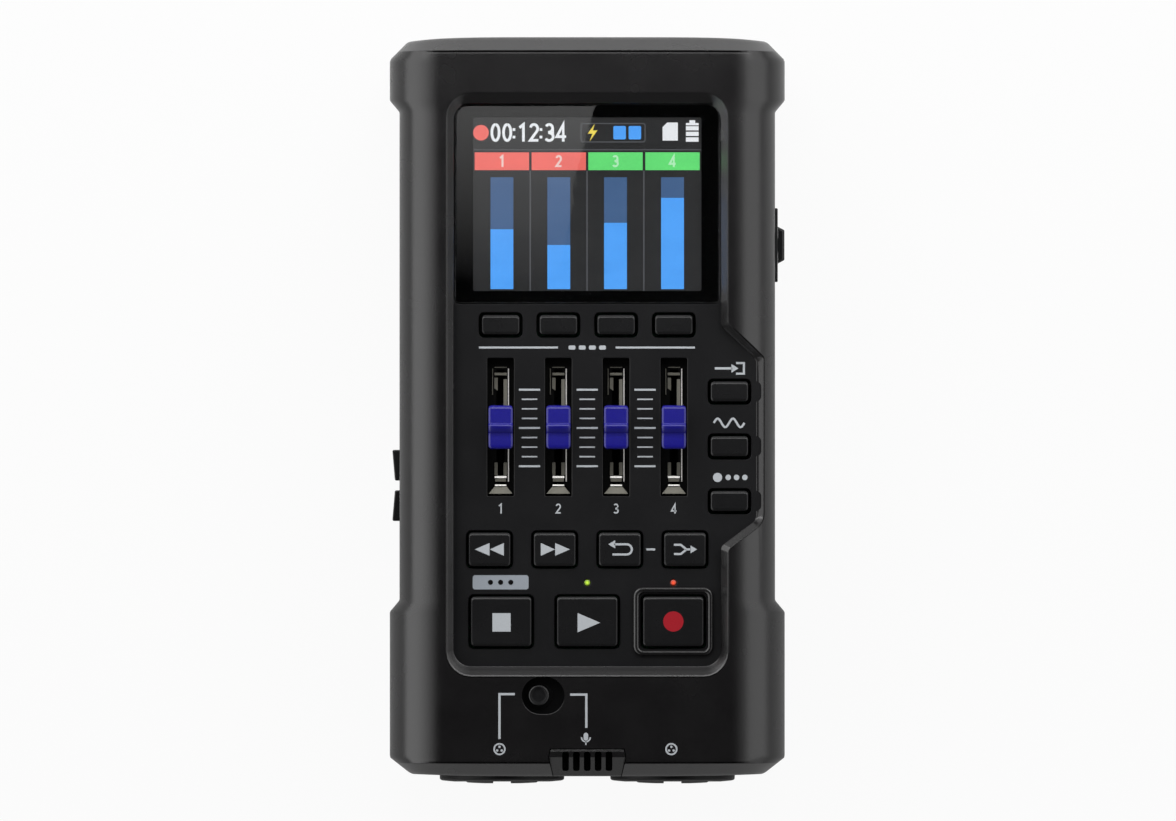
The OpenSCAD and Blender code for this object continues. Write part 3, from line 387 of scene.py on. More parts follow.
def noise(tree, size, detail=2.0, stretch=(1, 1, 1)):
    """Noise with grains of a size in millimetres."""
    scale = [s / (size * MM) for s in stretch]
    scaled = add_node(tree, "ShaderNodeMapping", Vector=place_on(tree), Scale=scale)
    grain = add_node(tree, "ShaderNodeTexNoise", Vector=scaled.outputs["Vector"], Scale=1.0, Detail=detail)
    return grain.outputs["Fac"]


def spread(tree, value, low, high, start=0.3, stop=0.7):
    """Value mapped from its usual range to low and high."""
    mapped = add_node(tree, "ShaderNodeMapRange", Value=value, From_Min=start, From_Max=stop, To_Min=low,
                      To_Max=high)
    return mapped.outputs["Result"]


def two_tone(tree, value, dark, light, start=0.35, stop=0.65):
    ramp = add_node(tree, "ShaderNodeValToRGB", Fac=value)
    first, last = ramp.color_ramp.elements
    first.position = start
    first.color = dark
    last.position = stop
    last.color = light
    return ramp.outputs["Color"]


def mottled(tree, value, colour, dark, light):
    return two_tone(tree, value, shade(colour, dark), shade(colour, light))


def bump(tree, shader, value, depth):
    raised = add_node(tree, "ShaderNodeBump", Height=value, Distance=depth * MM, Strength=1.0)
    fill(tree, shader, Normal=raised.outputs["Normal"])


def moulded(name, colour, rough, grain=0.35, depth=0.02, mottle=0.15, gloss=0.5):
    """Moulded plastic or rubber: mottled colour, fine grain and uneven sheen."""
    material, tree, shader = new_material(name)
    fine = noise(tree, grain, 3.0)
    broad = noise(tree, 9.0)
    fill(tree, shader, Base_Color=mottled(tree, fine, colour, 1 - mottle, 1 + mottle),
         Roughness=spread(tree, broad, rough - 0.02, rough + 0.02), Specular_IOR_Level=gloss)
    bump(tree, shader, fine, depth)
    return material


def metal(name, colour, rough, stretch=(1, 12, 1), share=1.0):
    """Drawn or brushed metal with fine streaks."""
    material, tree, shader = new_material(name)
    streaks = noise(tree, 0.5, 3.0, stretch)
    fill(tree, shader, Base_Color=mottled(tree, streaks, colour, 0.8, 1.1),
         Roughness=spread(tree, streaks, rough - 0.08, rough + 0.08), Metallic=share)
    bump(tree, shader, streaks, 0.004)
    return material


def glow(name, colour, strength=1.0):
    """Lit picture cells of the display."""
    material, tree, shader = new_material(name)
    cells = noise(tree, 0.12, 0.0)
    fill(tree, shader, Emission_Color=mottled(tree, cells, colour, 0.93, 1.07), Emission_Strength=strength,
         Base_Color=(0.004, 0.004, 0.004, 1.0), Roughness=0.6)
    return material


def lens(name, colour, node):
    """Clear coloured plastic of a lamp, lit from inside and brightest in its middle."""
    material, tree, shader = new_material(name)
    haze = noise(tree, 0.3)
    lamp = middle(node)
    top = (lamp.x * MM, lamp.y * MM, box(node)[1].z * MM)
    away = worked_out(tree, "DISTANCE", place_on(tree), top, kind="ShaderNodeVectorMath")
    fill(tree, shader, Base_Color=mottled(tree, haze, colour, 0.25, 0.35), Emission_Color=colour,
         Emission_Strength=spread(tree, away, 1.0, 0.03, 0.08 * MM, 0.52 * MM), Roughness=0.12)
    return material


def clear_window(name):
    """Hard clear plastic with faint smears."""
    material, tree, shader = new_material(name)
    smears = noise(tree, 14.0, 3.0, (1, 2.5, 1))
    fill(tree, shader, Base_Color=two_tone(tree, smears, (0.88, 0.9, 0.93, 1), (0.94, 0.95, 0.97, 1)),
         Roughness=spread(tree, smears, 0.0, 0.03), Transmission_Weight=1.0, IOR=1.49)
    return material


def cell_sleeve(name, main, band, start, stop):
    """Printed sleeve of the power cells: a band of another colour at one end."""
    material, tree, shader = new_material(name)
    parts = add_node(tree, "ShaderNodeSeparateXYZ", Vector=place_on(tree))
    way = spread(tree, parts.outputs["Y"], 0.0, 1.0, start * MM, stop * MM)
    fill(tree, shader, Base_Color=two_tone(tree, way, main, band, 0.49, 0.51),
         Roughness=spread(tree, noise(tree, 3.0), 0.22, 0.34), Metallic=0.4)
    return material


CASING = moulded("casing_plastic", tint(12, 11, 12), 0.26, grain=0.4, gloss=0.78)
REAR = moulded("rear_plastic", tint(13, 12, 13), 0.36, grain=0.4, gloss=0.7)
PANEL = moulded("panel_plastic", tint(9, 9, 11), 0.42, grain=0.25, depth=0.01, gloss=0.33)
KEYS = moulded("key_plastic", tint(18, 18, 19), 0.27, grain=0.2, depth=0.005)
CAPS = moulded("cap_plastic", tint(20, 18, 110), 0.24, grain=0.25, depth=0.004, mottle=0.08, gloss=0.6)
JACK = moulded("jack_plastic", tint(10, 10, 11), 0.42, grain=0.3, depth=0.01, gloss=0.22)
SWITCH = moulded("switch_plastic", tint(40, 40, 42), 0.5)
HOLDER = moulded("holder_plastic", tint(220, 220, 215), 0.6)
RUBBER = moulded("foot_rubber", tint(30, 30, 30), 0.8, grain=0.5, depth=0.04, gloss=0.2)
BOARD = moulded("board_laminate", tint(24, 84, 52), 0.35, grain=1.2, depth=0.01, mottle=0.25)
INK_PALE = moulded("pale_ink", tint(158, 162, 166), 0.6, grain=0.15, depth=0.002, mottle=0.04)
INK_PLATE = moulded("plate_ink", tint(130, 136, 143), 0.55, grain=0.2, depth=0.002, mottle=0.04)
INK_RED = moulded("red_ink", tint(142, 21, 32), 0.5, grain=0.15, depth=0.002, mottle=0.05, gloss=0.2)
# Black print of the window's mask and the option dots, and the display module's black; in the selector's well
# the same black is painted shade
BLACK_INK_AND_SHADE = moulded("black_ink_and_painted_shade", tint(5, 5, 6), 0.7, grain=0.3, depth=0.001, mottle=0.1, gloss=0.1)
STEEL = metal("plain_steel", tint(176, 174, 170), 0.35, share=0.6)
SLIDE = metal("slide_steel", tint(118, 116, 107), 0.38, share=0.6)
# Dark steel of the microphone capsule; on the fader housings it is also painted shade, standing for the shade
# deep in the slots
DARK_STEEL_AND_SHADE = metal("dark_steel_and_painted_shade", tint(22, 22, 22), 0.6)
BRIGHT = metal("bright_steel", tint(214, 212, 208), 0.3, (1, 6, 1), 0.5)
BLACK_STEEL = metal("black_steel", tint(66, 66, 67), 0.4)
CONTACT = metal("plated_contact", tint(222, 220, 212), 0.25)
SPEAKER = moulded("speaker_paint", tint(24, 24, 25), 0.6, grain=0.6)
WINDOW = clear_window("window_plastic")
cells_y = middle("battery_cells").y
CELLS = cell_sleeve("cell_sleeve", tint(38, 40, 44), tint(196, 150, 66), cells_y, cells_y + 12)
GREEN_LAMP = lens("green_lamp", tint(190, 230, 70), "play_lamp")
RED_LAMP = lens("red_lamp", tint(250, 90, 60), "record_lamp")
SCREEN = glow("screen_ground", tint(44, 44, 44))
SCREEN_LINE = glow("screen_line", tint(92, 93, 96))
SCREEN_WHITE = glow("screen_white", tint(246, 248, 250))
SCREEN_RED = glow("screen_red", tint(255, 116, 106))
SCREEN_GREEN = glow("screen_green", tint(108, 234, 124))
SCREEN_BLUE = glow("screen_blue", tint(84, 166, 255), 1.08)
SCREEN_DIM = glow("screen_dim", tint(72, 102, 143))
SCREEN_PINK = glow("screen_pink", tint(255, 214, 206))
SCREEN_MINT = glow("screen_mint", tint(190, 252, 196))
SCREEN_YELLOW = glow("screen_yellow", tint(252, 226, 96))


# Casing shell
def bumper_half(end, d):
    return WAIST + BUMPER_OUT * soft_step((end.bumper - d) / BUMPER_RAMP, RAMP_SOFT)


def section_points(end, d):
    """Casing section at distance d from an end, right to left: (x, y, front z, back z)."""
    bow = end.crown * max(0.0, 1 - d / (CROWN_FADE * end.bevel))
    rim = max(0.0, RIM_ROUND - d)
    inset = RIM_ROUND - math.sqrt(RIM_ROUND ** 2 - rim ** 2)
    half = bumper_half(end, d)
    end_half = WIDE - end.corner_x
    fit_steps = 12
    for _ in range(fit_steps):
        share = 1 - (d + bow * (half / end_half) ** end.power - end.crown) / end.corner_y
        half = bumper_half(end, d) - end.corner_x * soft_ramp(share, CORNER_SOFT)
    half -= inset
    front = FRONT_Z - inset - BEVEL_DROP * soft_ramp((end.bevel - d) / end.bevel, BEVEL_SOFT)
    back = BACK_Z + inset + soft_ramp(BACK_BEVEL - d, BACK_SOFT)
    front_r = max(half - FLAT_HALF, LEAST_FRONT_EDGE)
    back_r = max(half - BACK_HALF, LEAST_BACK_EDGE)
    groove = end.groove * along(GROOVE, d - end.bevel)
    flat = half - front_r
    arc_steps = 14
    flat_steps = 24
    xs = [flat + front_r * math.sin(math.pi / 2 * (1 - k / arc_steps)) for k in range(arc_steps)]
    xs += [flat * (1 - 2 * k / flat_steps) for k in range(flat_steps + 1)]
    xs += [-x for x in reversed(xs[:arc_steps])]
    points = []
    for x in xs:
        over = max(abs(x) - flat, 0.0)
        under = max(abs(x) - (half - back_r), 0.0)
        top = front - front_r + math.sqrt(max(front_r ** 2 - over ** 2, 0.0))
        top -= groove * (1 - ease((abs(x) - FLAT_HALF) / GROOVE_FADE))
        bottom = back + back_r - math.sqrt(max(back_r ** 2 - under ** 2, 0.0))
        points.append((x, end.y - end.side * (d + bow * (x / end_half) ** end.power), top, bottom))
    return points


def end_distances(end):
    """Distances from an end at which the casing has a section."""
    rim = [RIM_ROUND * (1 - math.cos(math.pi / 2 * k / RIM_STEPS)) for k in range(RIM_STEPS + 1)]
    bevel = [end.bevel + past for past in (-0.3, -0.12, -0.04, 0.02)]
    bevel += [end.bevel + past for past, _ in GROOVE]
    slope = [RIM_ROUND + (bevel[0] - RIM_ROUND) * k / 5 for k in range(1, 5)]
    corner = [bevel[-1] + (CORNER_REACH - bevel[-1]) * k / 6 for k in range(1, 7)]
    ramp = [RAMP_START - RAMP_SPAN * k / RAMP_STEPS for k in range(RAMP_STEPS + 1)]
    return rim + slope + bevel + corner + [end.bumper - BUMPER_RAMP * way for way in ramp]


def half_shell(name, front):
    """Front or rear half of the casing as a closed form with a small seam bevel."""
    rings = []
    side = 1 if front else -1
    seam_z = PART_Z + side * SEAM
    sections = [section_points(JACK_END, d) for d in end_distances(JACK_END)]
    sections += [section_points(TOP_END, d) for d in reversed(end_distances(TOP_END))]
    for points in sections:
        outer = [(x, y, top if front else bottom) for x, y, top, bottom in points]
        draw = 1 - SEAM / points[0][0]
        inner = [(x * draw, y, PART_Z) for x, y, _, _ in reversed(points)]
        left = (*points[-1][:2], seam_z)
        right = (*points[0][:2], seam_z)
        rings.append(outer + [left] + inner + [right])
    count = len(sections[0])
    cap = [(j, j + 1, 2 * count - j - 1, 2 * count - j) for j in range(count - 1)]
    cap += [(count - 1, count, count + 1), (0, 2 * count, 2 * count + 1)]
    return loft(name, rings, cap=cap)


def face_z(x):
    """Height of the waist's surface across the width."""
    over = max(abs(x) - FLAT_HALF, 0.0)
    r = WAIST - FLAT_HALF
    return FRONT_Z - r + math.sqrt(max(r ** 2 - over ** 2, 0.0))


def inner_half(top, r):
    """Half width of the cavity's section at height top, under an edge of radius r."""
    rise = max(top - (FRONT_Z - WALL - r), 0.0)
    return WAIST - WALL - r + math.sqrt(r ** 2 - rise ** 2)


def tray_outline(g, e):
    """Plan of the tray, grown by g at its sides and e at its ends."""
    k = 0.4 * g
    x = FLOOR_HALF + g
    low = FLOOR_Y0 - e
    high = FLOOR_Y1 + e
    return round_corners([
        (-x, low, TRAY_CORNER + g), (x, low, TRAY_CORNER + g),
        (x, BULGE_END - k, BULGE_SIDE_R), (BULGE_X + g, BULGE_Y0 - k, BULGE_LOW_R + g),
        (BULGE_X + g, BULGE_Y1 + k, BULGE_HIGH_R), (x, BULGE_START + k, BULGE_SIDE_R),
        (x, high, TRAY_TOP_CORNER + g), (-x, high, TRAY_TOP_CORNER + g)])


def steepness(x, y):
    """Steepness of the tray's band, as a share of that along its left side."""
    added = along(CORNER_STEEP, y) if abs(x) > FLOOR_HALF - CORNER_WIDE else 0.0
    return added + (along(RIGHT_STEEP, y) if x > 0 else 1.0)


def low_end(x, y):
    """1 at the tray's low end and in its bulge, 0 along the rest."""
    return max(ease((FLOOR_Y0 + 4.0 - y) / 4.0), ease((x - FLOOR_HALF - 1.9) / 1.5))


def tray_tool():
    """What the tray takes out of the front: upright walls under a sloping band and a rounded lip."""
    def plan(share):
        return tray_outline(TRAY_LIP * share, TRAY_END_LIP * share)

    lip = [face_z(x) for x, _ in plan(1.0)]
    rings = [placed(plan(0.0), FLOOR_Z - 0.5)]
    for k, (share, drop, end_drop) in enumerate(BAND, 1):
        least = FLOOR_Z + 0.02 * k
        ring = []
        for (x, y), z in zip(plan(share), lip):
            fall = drop + (end_drop - drop) * low_end(x, y)
            ring.append((x, y, max(z - fall * steepness(x, y), least)))
        rings.append(ring)
    for share, rise, end_rise in LIP:
        rings.append([(x, y, face_z(x) + rise + (end_rise - rise) * low_end(x, y)) for x, y in plan(share)])
    rings.append(placed(plan(LIP[-1][0]), FRONT_Z + 8))
    return loft("tray_tool", rings)


# Selector well
WELL = tuple(middle("selector_switch")[:2])
WELL_Z = FRONT_Z - 2.6
WELL_W = 9.16
WELL_L = 8.0
WELL_R = 3.999
WELL_EDGE = ((0, WELL_Z), (0, FRONT_Z - 0.4), (0.03, FRONT_Z - 0.16), (0.14, FRONT_Z - 0.03),
             (0.24, FRONT_Z + 0.01), (0.3, FRONT_Z + 1))
STEM_SLOT = rounded_rect(4.1, 2.2, 0.3, WELL)


def well_outline(g):
    """Plan of the selector's well, grown by g at its low end and a quarter of that at its sides."""
    return rounded_rect(WELL_W + 0.5 * g, WELL_L + g, WELL_R + 0.25 * g, (WELL[0], WELL[1] - g / 2), 12)


# Microphone grille
GRILLE_BEND = 4.1
GRILLE_REACH = 5.8
GRILLE_Z = box("mic_grille")[0].z


def grille_outline(g):
    """Plan of the microphone grille, widest where its face bends."""
    right = [(7.05 + g, Y0 - 1), (8.3 + g, Y0 + GRILLE_BEND), (7.9 + g, Y0 + GRILLE_REACH + g)]
    return right + [(-x, y) for x, y in reversed(right)]


# Jacks
JACKS = {"a": middle("combo_jack_a").x, "b": middle("combo_jack_b").x}
JACK_Z = PART_Z
COLLAR_R = 13.5
COLLAR_FALL = 0.75
PLUG_R = 3.3
DOME_R = (COLLAR_R ** 2 + COLLAR_FALL ** 2) / (2 * COLLAR_FALL)
CROWN_Y = box("jack_insert_a")[0].y - DOME_R + math.sqrt(DOME_R ** 2 - PLUG_R ** 2)
SEAT_Y = Y0 + 0.6
# Radius and depth of the steps of a jack's seat
JACK_SEAT = ((13.7, SEAT_Y), (11.95, Y0 + 5))


def cut_jack_seats(shell):
    for x in JACKS.values():
        for r, depth in JACK_SEAT:
            cut(shell, circle(r, (x, JACK_Z), 64), depth, Y0 - 3, "y")


# Holes in the sides: node, side, length, height and corner
POWER_SLOT = (10.6, 2.8, 0.6)
VOLUME_HOLE = (7.35, 5.3, 0.6)
SIDE_HOLES = (("power_plate", 1, *POWER_SLOT), ("volume_up_key", -1, *VOLUME_HOLE),
              ("volume_down_key", -1, *VOLUME_HOLE), ("usb_socket", 1, 9.44, 3.76, 1.7),
              ("card_socket", 1, 12.5, 1.9, 0.5))
PHONES_R = 2.9
POCKET_GAP = PANEL_RIM + 0.1


def make_front():
    """Front shell; gives a copy of its outside for the grille."""
    shell = half_shell("front_shell", True)
    outside = linked("outside", shell.data.copy())
    r = WAIST - WALL - FLAT_HALF
    low_z = FRONT_Z - WALL - r
    heights = [low_z + (FLOOR_Z - low_z) * k / 8 for k in range(9)]
    right = [(inner_half(z, r), z) for z in heights]
    hollow = [(-WAIST + WALL, PART_Z - 1), (WAIST - WALL, PART_Z - 1)] + right
    hollow += [(-x, z) for x, z in reversed(right)]
    cut(shell, hollow, Y0 + END_WALL, Y1 - END_WALL, "y")
    cut(shell, tray_outline(POCKET_GAP, POCKET_GAP), PANEL_Z - 3, FLOOR_Z)
    shaped(shell, tray_tool())
    for node in FUNCTION_KEYS:
        notch = rounded_rect(3.0, 4.4, 1.2, (BULGE_X - 0.45, middle(node).y))
        cut(shell, notch, FLOOR_Z - 0.2, FRONT_Z + 1)
    shaped(shell, stack("well", [(well_outline(g), z) for g, z in WELL_EDGE]))
    cut(shell, STEM_SLOT, FLOOR_Z - 1, FRONT_Z)
    cut(shell, grille_outline(0.18), GRILLE_Z, FRONT_Z + 5)
    cut_jack_seats(shell)
    for node, side, l, h, r in SIDE_HOLES:
        low, high = sorted((side * (WAIST - 4), side * (WIDE + 3)))
        cut(shell, rounded_rect(l, h, r, (middle(node).y, SIDE_Z)), low, high, "x")
    phones = circle(PHONES_R, (middle("phones_jack").y, SIDE_Z), 64)
    cut(shell, phones, -WIDE - 1, -WAIST + 4, "x")
    dress(shell, CASING, node="front_casing")
    return outside


def make_grille(outside):
    """Microphone grille, trimmed from the casing's own form."""
    grille = prism("microphone_grille", grille_outline(0), GRILLE_Z, FRONT_Z + 5)
    shaped(grille, outside, "INTERSECT")
    bend = Y0 + GRILLE_BEND
    slant = BEVEL_DROP / GRILLE_BEND
    over = FRONT_Z + 6
    face = [(bend, FRONT_Z), (bend, over), (Y0 - 3, over), (Y0 - 3, FRONT_Z - slant * (GRILLE_BEND + 3))]
    edge = Y0 + GRILLE_REACH
    lip = [(edge - 0.45, FRONT_Z), (edge + 0.2, FRONT_Z - 0.16), (edge + 0.2, over), (edge - 0.45, over)]
    for outline in (face, lip):
        cut(grille, outline, -10, 10, "x")
    slots = [rounded_rect(1.45, 4.15, 0.5, (2.35 * i, Y0 + 3.23)) for i in range(-2, 3)]
    shaped(grille, joined("slots", [prism("slot", slot, GRILLE_Z - 1, FRONT_Z + 1) for slot in slots]))
    dress(grille, CASING, node="mic_grille")


make_grille(make_front())

# Rear shell
cover_low, cover_high = box("battery_cover")
COVER_W = cover_high.x - cover_low.x
COVER_L = cover_high.y - cover_low.y
BAY = ((cover_low.x + cover_high.x) / 2, (cover_low.y + cover_high.y) / 2)
BAY_LEDGE = 0.8
BAY_WALL = 1.4
BAY_TOP = box("battery_cells")[1].z + 0.4
COVER_GAP = 0.2
COVER_R = 1.0
SPEAKER_PITCH = 3.375
# Radius and level down a speaker hole and up a foot
SPEAKER_HOLE = ((1.1, BACK_Z - 1), (1.0, BACK_Z), (0.8, BACK_Z + 0.3), (0.8, BACK_Z + WALL + 1))
FOOT_R = 4.5
FOOT = ((3.4, 0.0), (4.0, 0.05), (4.35, 0.25), (FOOT_R, 0.6), (FOOT_R, BACK_Z + 0.6))
HEAD_R = 2.3
SCREW_ROW = middle("phones_jack").y - 13.5
# Width, length, corner and depth of a grip groove
GRIP = ((14.4, 1.2, 0.55, -0.5), (14.2, 1.0, 0.45, 0.0), (13.6, 0.5, 0.2, 0.5))


def spots(name, r, low, high, places):
    return joined(name, [prism("spot", circle(r, place, 32), low, high) for place in places])


def corner_places(node, r, *rows):
    """Places of a node's round pieces: its corners, and both ends of further rows."""
    low, high = box(node)
    ys = sorted((low.y + r, *rows, high.y - r))
    return [(x, y) for x in (low.x + r, high.x - r) for y in ys]


SCREWS = corner_places("casing_screws", HEAD_R, SCREW_ROW)
FEET = corner_places("rubber_feet", FOOT_R)


def make_rear():
    shell = half_shell("rear_shell", False)
    x = WAIST - WALL
    low = BACK_Z + WALL
    hollow = round_corners([(-x, low, 4.0), (x, low, 4.0), (x, PART_Z + 1, 0.1), (-x, PART_Z + 1, 0.1)])
    cut(shell, hollow, Y0 + END_WALL, Y1 - END_WALL, "y")
    bay_w = COVER_W - 2 * BAY_LEDGE
    bay_l = COVER_L - 2 * BAY_LEDGE
    walls = rounded_rect(bay_w + 2 * BAY_WALL, bay_l + 2 * BAY_WALL, 0.5, BAY)
    shaped(shell, prism("bay_walls", walls, BACK_Z + 1, BAY_TOP + BAY_WALL), "UNION")
    shaped(shell, spots("bosses", 3.0, BACK_Z + 1, PART_Z - 0.05, SCREWS), "UNION")
    cut(shell, rounded_rect(bay_w, bay_l, 0.3, BAY), BACK_Z - 1, BAY_TOP)
    mouth = COVER_GAP + 0.25
    rebate = ((mouth, BACK_Z - 1), (mouth, BACK_Z), (COVER_GAP, BACK_Z + 0.25), (COVER_GAP, BACK_Z + 1.6))
    shaped(shell, stack("rebate", [(rounded_rect(COVER_W + 2 * g, COVER_L + 2 * g, COVER_R + g, BAY), z)
                                   for g, z in rebate]))
    speaker = tuple(middle("speaker")[:2])
    holes = [speaker]
    for ring in range(1, 4):
        holes += circle(SPEAKER_PITCH * ring, speaker, 6 * ring)
    shaped(shell, joined("speaker_holes", [lathe("hole", SPEAKER_HOLE, hole, count=24) for hole in holes]))
    shaped(shell, spots("foot_seats", 4.6, BACK_Z - 1, BACK_Z + 0.6, FEET))
    shaped(shell, spots("screw_heads", 2.6, BACK_Z - 1, BACK_Z + 6, SCREWS))
    shaped(shell, spots("screw_shanks", 1.3, BACK_Z + 5, PART_Z + 1, SCREWS))
    cut_jack_seats(shell)
    dress(shell, REAR, node="rear_casing")


def make_cover():
    edge = ((0.3, BACK_Z), (0.1, BACK_Z + 0.08), (0.0, BACK_Z + 0.3), (0.0, cover_high.z))
    cover = stack("cell_cover", [(rounded_rect(COVER_W - 2 * g, COVER_L - 2 * g, COVER_R, BAY), level)
                                 for g, level in edge])
    grips = []
    for i in range(6):
        place = (BAY[0], cover_high.y - 5 - 2 * i)
        levels = [(rounded_rect(w, l, r, place), BACK_Z + depth) for w, l, r, depth in GRIP]
        grips.append(stack("grip", levels))
    shaped(cover, joined("grips", grips))
    dress(cover, REAR, "battery_cover", "battery_cover")


make_rear()
make_cover()
feet = [lathe("foot", FOOT, place) for place in FEET]
dress(joined("soft_feet", feet), RUBBER, node="rubber_feet")


# Control panel
def opening(outline):
    """Tool for an opening with a rounded upper edge; outline takes a growth and gives a plan."""
    levels = ((0.0, PANEL_Z - 1), (0.0, FLOOR_Z - 0.2), (0.04, FLOOR_Z - 0.08), (0.16, FLOOR_Z),
              (0.3, FLOOR_Z + 1))
    return stack("opening", [(outline(g), z) for g, z in levels])


def key_plan(node):
    """Width, length and centre of a key over its flange."""
    low, high = box(node)
    grow = 2 * (KEY_GAP + FLANGE_OUT)
    return high.x - low.x - grow, high.y - low.y - grow, ((low.x + high.x) / 2, (low.y + high.y) / 2)


def key_opening(node):
    """Opening round a key: wider round the small keys, and set a little lower than the key."""
    w, l, (x, y) = key_plan(node)
    wider, lower = (0.22, 0.08) if node in TRACK_KEYS + FUNCTION_KEYS else (0.08, 0.03)
    gap = KEY_GAP + wider
    centre = (x, y - lower)
    return opening(lambda g: rounded_rect(w + 2 * (gap + g), l + 2 * (gap + g), 1.1 + g, centre))


SLOT_W = 5.76
SLOT_L = 29.9
FADERS = {i: middle(f"fader_cap_{i}") for i in range(1, 5)}
LAMP_HOLE_R = 0.75
WINDOW_LEDGE = 2.4


def slot_opening(place):
    return opening(lambda g: rounded_rect(SLOT_W + 2 * g, SLOT_L + 2 * g, 0.3 + g, (place.x, place.y)))


def lamp_opening(node):
    return opening(lambda g: circle(LAMP_HOLE_R + g, middle(node)[:2], 32))


def window_outline(g):
    """Plan of the display window: square corners below, round ones above."""
    r = 2.8 + g
    return round_corners([
        (window_low.x - g, window_low.y - g, 1.0 + g), (window_high.x + g, window_low.y - g, 1.0 + g),
        (window_high.x + g, window_high.y + g, r), (window_low.x - g, window_high.y + g, r)])


def make_panel():
    panel = prism("control_plate", tray_outline(PANEL_RIM, PANEL_RIM), PANEL_Z, FLOOR_Z)
    tools = [key_opening(node) for node in PANEL_KEYS]
    tools += [slot_opening(place) for place in FADERS.values()]
    tools += [lamp_opening(node) for node in ("play_lamp", "record_lamp")]
    shaped(panel, joined("openings", tools))
    pocket = ((0.2, window_low.z), (0.2, FLOOR_Z - 0.2), (0.21, FLOOR_Z - 0.12), (0.27, FLOOR_Z - 0.03),
              (0.33, FLOOR_Z), (0.4, FLOOR_Z + 1))
    shaped(panel, stack("pocket", [(window_outline(g), z) for g, z in pocket]))
    view_w = window_high.x - window_low.x - 2 * WINDOW_LEDGE
    view_l = window_high.y - window_low.y - 2 * WINDOW_LEDGE
    cut(panel, rounded_rect(view_w, view_l, 0.3, middle("display_window")[:2]), PANEL_Z - 1, FLOOR_Z + 1)
    dress(panel, PANEL, node="control_panel")


# Record key's guard: gap to the key, and growth and drop over its arch
GUARD_GAP = 0.85
GUARD_ARCH = ((0.0, 0.5), (0.04, 0.3), (0.12, 0.16), (0.34, 0.04), (0.46, 0.0), (0.74, 0.0), (0.86, 0.04),
              (1.08, 0.16), (1.16, 0.3), (1.2, 0.5))


def make_guard():
    """Raised ring round the record key, with rounded edges."""
    w, l, centre = key_plan("record_key")
    w += 2 * GUARD_GAP
    l += 2 * GUARD_GAP
    foot = FLOOR_Z - 0.5
    levels = [(g, panel_high.z - drop) for g, drop in GUARD_ARCH]
    levels = [(GUARD_ARCH[0][0], foot)] + levels + [(GUARD_ARCH[-1][0], foot)]
    rings = [placed(rounded_rect(w + 2 * g, l + 2 * g, 1.0 + 0.85 * g, centre), z) for g, z in levels]
    dress(loft("record_guard", rings, tube=True), CASING)


make_panel()
make_guard()


# Keys
def make_key(node):
    w, l, centre = key_plan(node)
    low, high = box(node)
    levels = [(rounded_rect(w, l, KEY_ROUND, centre), low.z + 0.6)]
    for side, end, drop in KEY_EDGE:
        r = max(KEY_ROUND - end * 0.5, 0.3)
        levels.append((rounded_rect(w - 2 * side, l - 2 * end, r, centre), high.z - drop))
    dress(stack(f"{node}_top", levels), KEYS, node, node, 60)


for node in PANEL_KEYS:
    make_key(node)

# Fader caps: (along, height under the ridge) down the middle
CAP_PROFILE = ((-4.75, -2.3), (-4.74, -1.75), (-4.7, -1.3), (-4.62, -1.02), (-4.45, -0.87), (-4.15, -0.82),
               (-3.8, -0.81), (-2.6, -0.86), (-1.42, -0.95), (-1.32, -0.91), (-1.22, -0.8), (-1.1, -0.66),
               (-0.95, -0.52), (-0.75, -0.37), (-0.5, -0.22), (-0.25, -0.1), (-0.05, -0.04), (0.1, -0.01),
               (0.21, 0.0), (0.29, -0.01), (0.59, -0.12), (0.67, -0.22), (0.75, -0.36), (0.9, -0.42),
               (3.9, -0.62), (4.35, -0.78), (4.55, -0.95), (4.7, -1.35), (4.75, -2.0))
CAP_CORNER = 0.8
CAP_CORNER_FROM = 3.95


def make_cap(i):
    node = f"fader_cap_{i}"
    low, high = box(node)
    place = middle(node)
    rings = []
    for way, drop in CAP_PROFILE:
        top = high.z + drop
        past = min(max(abs(way) - CAP_CORNER_FROM, 0.0), CAP_CORNER)
        half = (high.x - low.x) / 2 - (CAP_CORNER - math.sqrt(CAP_CORNER ** 2 - past ** 2)) * 0.9
        edge = ((half, low.z), (half, top - 0.6), (half - 0.03, top - 0.32), (half - 0.08, top - 0.2),
                (half - 0.36, top - 0.05), (half - 0.5, top), (0.7, top - 0.02))
        ring = [(place.x + x, place.y + way, z) for x, z in edge]
        ring += [(place.x - x, place.y + way, z) for x, z in reversed(edge)]
        rings.append(ring)
    cap = dress(loft(f"slider_cap_{i}", rings), CAPS, f"fader_{i}", node, 40)
    cap.visible_glossy = False


# Metal in a fader's slot, from the slot's middle: low and high x, low and high y, height, and its top's lean
SLIT = 0.62
STRIPS = ((-1.35, 1.35, 12.85, 13.05, 0.3, 0.0, 0.0), (-1.84, -1.64, 7.0, 12.7, 0.4, 0.15, 0.0),
          (-1.35, 1.35, 11.2, 11.8, 0.3, 0.0, -0.1), (SLIT, 1.42, -4.0, 10.4, 0.3, 0.2, 0.0),
          (SLIT, 1.42, -10.4, -7.6, 0.3, 0.1, 0.0), (-1.35, -SLIT, -10.4, -7.6, 0.3, 0.1, 0.0),
          (-1.2, 1.2, -11.8, -11.15, 0.3, 0.0, -0.1))
RAILS = ((1.56, 1.82, -11.8, 12.7, 0.45, 0.25, 0.0), (-1.3, 1.3, -11.05, -10.55, 0.4, 0.0, -0.25),
         (-1.27, 1.27, -12.75, -12.4, 0.45, 0.0, -0.35))
SLANTED = ((-1.35, 8.4), (-SLIT, 7.9), (-SLIT, 10.7), (-1.35, 10.7))
TAB_Y = -12.8
TAB = ((-1.27, TAB_Y), (1.27, TAB_Y), (2.57, -14.4), (-2.57, -14.4))
BAR_SOFT = 0.06


